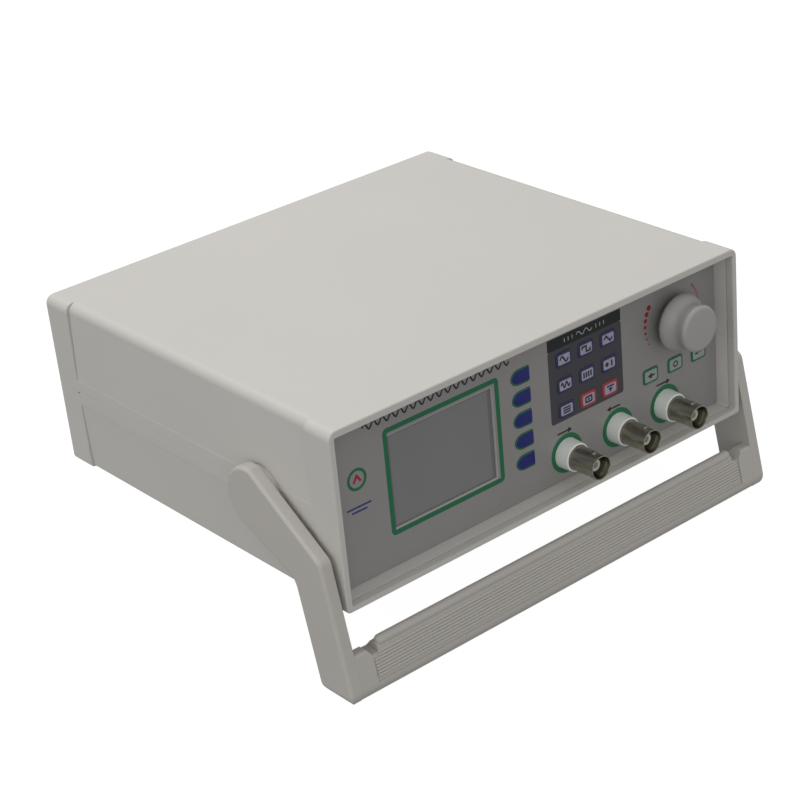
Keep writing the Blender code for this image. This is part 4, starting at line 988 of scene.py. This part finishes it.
def make_handle():
    """One moulding: two arms, a bar with a corner block at each end, and a ribbed grip under a bead."""
    outline = arm_outline()
    solids = []
    for side in (-1, 1):
        low, high = sorted((side * ARM_INNER, side * ARM_OUTER))
        bevels = (1.5, 0.2) if side < 0 else (0.2, 1.5)
        solids.append(prism(outline, low, high, bevels, 5))
    left_end = [
        (-BLOCK_OUTER - 1, BELOW_ALL, 0),
        (-BLOCK_OUTER - 1, BAR_TOP_Z - 0.8, 0),
        (-ARM_INNER, BAR_TOP_Z - 0.8, 1.0),
        (-100.2, BAR_TOP_Z + 0.4, 2.0),
        (-96.8, BAR_TOP_Z + 0.4, 2.4),
        (-BLOCK_INNER, NOTCH_Z, 1.6),
        (-BLOCK_INNER, LEDGE_Z, 0.3),
    ]
    low_band = rounded(mirrored(left_end), 8)
    plain = prism(inset_outline(bar_outline(False), BAR_SETBACK), -BLOCK_OUTER, BLOCK_OUTER)
    solids.append(combine(plain, [sheet([low_band], -20, 20)], "INTERSECT"))
    grip_x, grip_end = BEAD_HALF + 0.2, BLOCK_INNER + 0.4
    grip_view = mirrored(
        [(-grip_end, BELOW_ALL), (-grip_end, NOTCH_Z), (-grip_x, NOTCH_Z), (-grip_x, -5)]
    )
    ribbed = prism(bar_outline(True), -BLOCK_INNER - 1.0, BLOCK_INNER + 1.0)
    solids.append(combine(ribbed, [sheet([grip_view], -20, 20)], "INTERSECT"))
    solids.append(capsule(BEAD_HALF, front_line(BEAD_Z) + BEAD_RADIUS, BEAD_Z, BEAD_RADIUS, 28, 6))
    for i in range(RIBS):
        z = BEAD_Z - 3.2 - i * RIB_PITCH
        half = 91.9 if i < 2 else 93.9
        solids.append(capsule(half, front_line(z) + RIB_RADIUS + 0.15, z, RIB_RADIUS, 12, 3))
    frame_mesh = combine(solids[0], solids[1:], solver="MANIFOLD")
    wide = ARM_OUTER + 0.4
    front_view = [(-wide, -35.0, FOOT_RADIUS), (wide, -35.0, FOOT_RADIUS), (wide, 60, 0), (-wide, 60, 0)]
    frame_mesh = combine(frame_mesh, [sheet([rounded(front_view, 10)], -20, 70)], "INTERSECT", "MANIFOLD")
    bores = []
    for side in (-1, 1):
        hole = [(0, -1.0), (6.15, -1.0), (6.15, 3.3), (0, 3.3)]
        bores.append(turned(hole, (side * ARM_INNER, PIVOT_Y, PIVOT_Z), (side, 0, 0), 48))
    frame_mesh = combine(frame_mesh, bores, "DIFFERENCE", "MANIFOLD")
    piece(
        "tilting_handle",
        [(frame_mesh, HANDLE)],
        slot="case_plastic",
        replaces=["handle_arm_left", "handle_arm_right", "handle_crossbar", "handle_grip"],
        angle=32,
        weighted=True,
    )


def make_hubs():
    """Discs on the case sides with a stepped rim, whose spigots carry the arms."""
    for node, side in (("handle_hub_left", -1), ("handle_hub_right", 1)):
        profile = [(0, 105.0), (6.0, 105.0), (6.0, 101.6), (DISC_RADIUS - 0.5, 101.6)]
        profile += arc((DISC_RADIUS - 0.5, 101.1), 0.5, 90, 0, 4)
        profile += [(DISC_RADIUS, 99.0), (6.0, 99.0), (6.0, 95.7), (8.5, 95.7), (8.5, 93.0), (0, 93.0)]
        made = turned(profile, (0, PIVOT_Y, PIVOT_Z), (side, 0, 0), 72)
        piece(node + "_disc", [(made, HANDLE)], slot="case_plastic", replaces=[node])


make_handle()
make_hubs()

# ---- rear panel
REAR_Y = 173.0
FITTING_TOP = REAR_Y + 2.3
INLET_X, INLET_Z = 60.0, 36.0
ROCKER_X, ROCKER_Z, ROCKER_PIVOT_Y = 22.0, 36.0, 170.8
ROCKER_SWING = math.radians(12.0)
VENT_X, VENT_PITCH, VENTS = -46.0, 4.5, 7


def rear_sheet(outlines, low_y, high_y, bevel=0.0):
    """A sheet that faces the rear. Its outlines are drawn in x and z."""
    turned_round = [[(-x, z) for x, z in outline][::-1] for outline in outlines]
    return sheet(turned_round, -high_y, -low_y, FACE_TO_REAR, bevel)


def make_rear():
    """The rear plate with its openings and vents, and a printed frame round each fitting."""
    outlines = [rectangle(0, FILM_Z, 193.8, 65.5, 0.4)]
    outlines.append(rectangle(INLET_X, INLET_Z, 27.6, 20.2, 1.0))
    outlines.append(rectangle(ROCKER_X, ROCKER_Z, 13.6, 19.8, 0.6))
    for i in range(VENTS):
        outlines.append(rectangle(VENT_X, ROCKER_Z + (i - 3) * VENT_PITCH, 36.0, 2.2, 1.05))
    plate = rear_sheet(outlines, 171.0, REAR_Y, 0.15)
    piece("rear_plate", [(plate, CASE)], slot="case_plastic", replaces=["rear_panel"], weighted=True)
    frames = [ring(INLET_X, INLET_Z, 35.0, 27.6, 2.0, 0.5), ring(ROCKER_X, ROCKER_Z, 20.0, 27.2, 2.0, 0.5)]
    lines = [(rear_sheet(outlines, REAR_Y - 0.01, REAR_Y + 0.04), DARK_PRINT) for outlines in frames]
    piece("rear_markings", lines, slot="panel_film")


def fitting(flange, housing, depth, mouth, mouth_depth):
    """A flange on the rear plate with a housing behind it, both opened by one mouth."""
    body = combine(
        rear_sheet([flange], REAR_Y + 0.3, FITTING_TOP, 0.35),
        [rear_sheet([housing], FITTING_TOP - depth, FITTING_TOP - 1.0)],
    )
    cut = rear_sheet([mouth], FITTING_TOP - mouth_depth, FITTING_TOP + 1.0)
    return combine(body, [cut], "DIFFERENCE")


def make_inlet():
    """An appliance inlet: a bevelled flange, a deep mouth and three flat pins."""
    corners = [(-11.7, -8.0, 1.2), (11.7, -8.0, 1.2), (11.7, 3.5, 0.8)]
    corners += [(7.2, 8.0, 0.8), (-7.2, 8.0, 0.8), (-11.7, 3.5, 0.8)]
    mouth = [(INLET_X + x, INLET_Z + z, radius) for x, z, radius in corners]
    flange = rectangle(INLET_X, INLET_Z, 31.0, 23.6, 2.0, 6)
    housing = rectangle(INLET_X, INLET_Z, 27.0, 19.6, 1.0)
    body = fitting(flange, housing, 24.0, rounded(mouth, 4), 15.5)
    parts = [(body, BLACK)]
    for x, z in ((-7.0, 2.0), (0.0, -2.0), (7.0, 2.0)):
        pin = rectangle(INLET_X + x, INLET_Z + z, 2.0, 4.0, 0.3)
        parts.append((rear_sheet([pin], FITTING_TOP - 16.0, FITTING_TOP - 5.5, 0.28), STEEL))
    piece("inlet_socket", parts, slot="black_plastic", replaces=["power_inlet"])


def make_rocker():
    """The mains switch: its frame, and a dished rocker marked with a bar and a ring."""
    flange = rectangle(ROCKER_X, ROCKER_Z, 16.0, 23.2, 1.5)
    housing = rectangle(ROCKER_X, ROCKER_Z, 13.0, 19.2, 0.8)
    mouth = rectangle(ROCKER_X, ROCKER_Z, 10.6, 17.2, 0.6)
    body = fitting(flange, housing, 18.0, mouth, 11.5)
    piece("rocker_surround", [(body, BLACK)], slot="black_plastic", replaces=["rocker_frame"])
    outline = [(3.0, 7.6, 0.6), (-3.6, 5.0, 0.4), (-3.6, -5.0, 0.4), (3.0, -7.6, 0.6)]
    heights = (-5.6, -4.2, -2.8, -1.4, 0.0, 1.4, 2.8, 4.2, 5.6)
    dish = [(3.0 - 1.1 * (1 - (z / 7.0) ** 2), z, 0) for z in heights]
    tipped = [Matrix.Rotation(-ROCKER_SWING, 2) @ p for p in rounded(outline + dish, 4)]
    section = [(y + ROCKER_PIVOT_Y, z + ROCKER_Z) for y, z in tipped]
    paddle = prism(section, ROCKER_X - 5.0, ROCKER_X + 5.0, (0.3, 0.3), 3)
    tip = Matrix.Translation((0, ROCKER_PIVOT_Y, ROCKER_Z)) @ Matrix.Rotation(-ROCKER_SWING, 4, "X")
    bar = [rectangle(0, 4.6, 0.6, 2.6, 0.2)]
    hoop = [circle(0, -4.6, 1.3, 28), circle(0, -4.6, 0.8, 28)]
    marks = []
    for outlines in (bar, hoop):
        mark = rear_sheet(outlines, 2.36, 2.66)
        mark.transform(Matrix.Translation((ROCKER_X, 0, 0)))
        mark.transform(tip)
        marks.append((mark, WHITE_MARK))
    parts = [(paddle, BLACK), *marks]
    piece("rocker_paddle", parts, slot="black_plastic", replaces=["rocker"])


make_rear()
make_inlet()
make_rocker()

# ---- nodes that keep their CAD shape
KEPT = {
    "front_panel": PLATE,
    "display_module": STEEL,
    "key_switch_board": BOARD,
    "control_board": BOARD,
    "encoder_body": BLACK,
    "encoder_nut": STEEL,
    "encoder_shaft": STEEL,
    "power_supply_board": BOARD,
    "signal_board": BOARD,
    "transformer": STEEL,
    "heat_sink": ALUMINIUM,
}
for node, finish in KEPT.items():
    mesh = NODES[node].data
    mesh.materials.clear()
    mesh.materials.append(finish)

# ---- floor, light and view
FLOOR_HALF, FLOOR_DROP = 6.0, 0.0002
FLOOR_GREY, FLOOR_GLOW, WORLD_STRENGTH = 0.10, 0.97, 0.85
AIM = (0, 0, 0.05)


def make_floor():
    """A plain pale floor that glows evenly and throws no light back on the object."""
    bm = bmesh.new()
    bmesh.ops.create_grid(bm, x_segments=1, y_segments=1, size=FLOOR_HALF)
    floor = bpy.data.objects.new("studio_floor", mesh_from(bm, "studio_floor"))
    floor.location = (0, 0, -FLOOR_DROP)
    made = bpy.data.materials.new("studio_white")
    made.use_nodes = True
    shader = made.node_tree.nodes["Principled BSDF"]
    shader.inputs["Base Color"].default_value = (FLOOR_GREY, FLOOR_GREY, FLOOR_GREY, 1)
    shader.inputs["Roughness"].default_value = 1.0
    shader.inputs["Specular IOR Level"].default_value = 0.0
    shader.inputs["Emission Color"].default_value = (1, 1, 1, 1)
    shader.inputs["Emission Strength"].default_value = FLOOR_GLOW
    floor.data.materials.append(made)
    floor.visible_diffuse = False
    floor.visible_glossy = False
    bpy.context.scene.collection.objects.link(floor)


def make_world():
    """A plain studio: bright above, dimmer at the sides and darker below."""
    world = bpy.data.worlds.new("studio")
    bpy.context.scene.world = world
    world.use_nodes = True
    n = Nodes(world.node_tree)
    direction = n.add("ShaderNodeTexCoord").outputs["Generated"]
    height = n.add("ShaderNodeSeparateXYZ", {"Vector": direction}).outputs["Z"]
    ramp = n.add("ShaderNodeValToRGB", {"Fac": n.spread(height, 0.0, 1.0, -1.0, 1.0)})
    stops = ramp.color_ramp.elements
    stops[0].position, stops[0].color = 0.0, (0.20, 0.20, 0.20, 1)
    stops[1].position, stops[1].color = 1.0, (0.66, 0.66, 0.66, 1)
    for position, value in ((0.46, 0.38), (0.56, 0.58), (0.80, 0.64)):
        stop = stops.new(position)
        stop.color = (value, value, value, 1)
    background = world.node_tree.nodes["Background"]
    n.feed(background.inputs["Color"], ramp.outputs["Color"])
    background.inputs["Strength"].default_value = WORLD_STRENGTH


def make_light(name, place, size, power):
    data = bpy.data.lights.new(name, "AREA")
    data.shape = "RECTANGLE"
    data.size, data.size_y = size
    data.energy = power
    light = bpy.data.objects.new(name, data)
    light.location = place
    light.rotation_euler = (Vector(AIM) - Vector(place)).to_track_quat("-Z", "Y").to_euler()
    bpy.context.scene.collection.objects.link(light)


make_floor()
make_world()
make_light("overhead_softbox", (0.1, 0.75, 1.2), (1.2, 1.0), 8.4)
make_light("left_softbox", (-1.3, 0.25, 0.55), (1.0, 1.0), 3.6)
make_light("front_softbox", (-0.7, -1.2, 0.7), (1.0, 1.0), 2.6)

view = bpy.context.scene.view_settings
view.view_transform = "Standard"
view.look = "None"
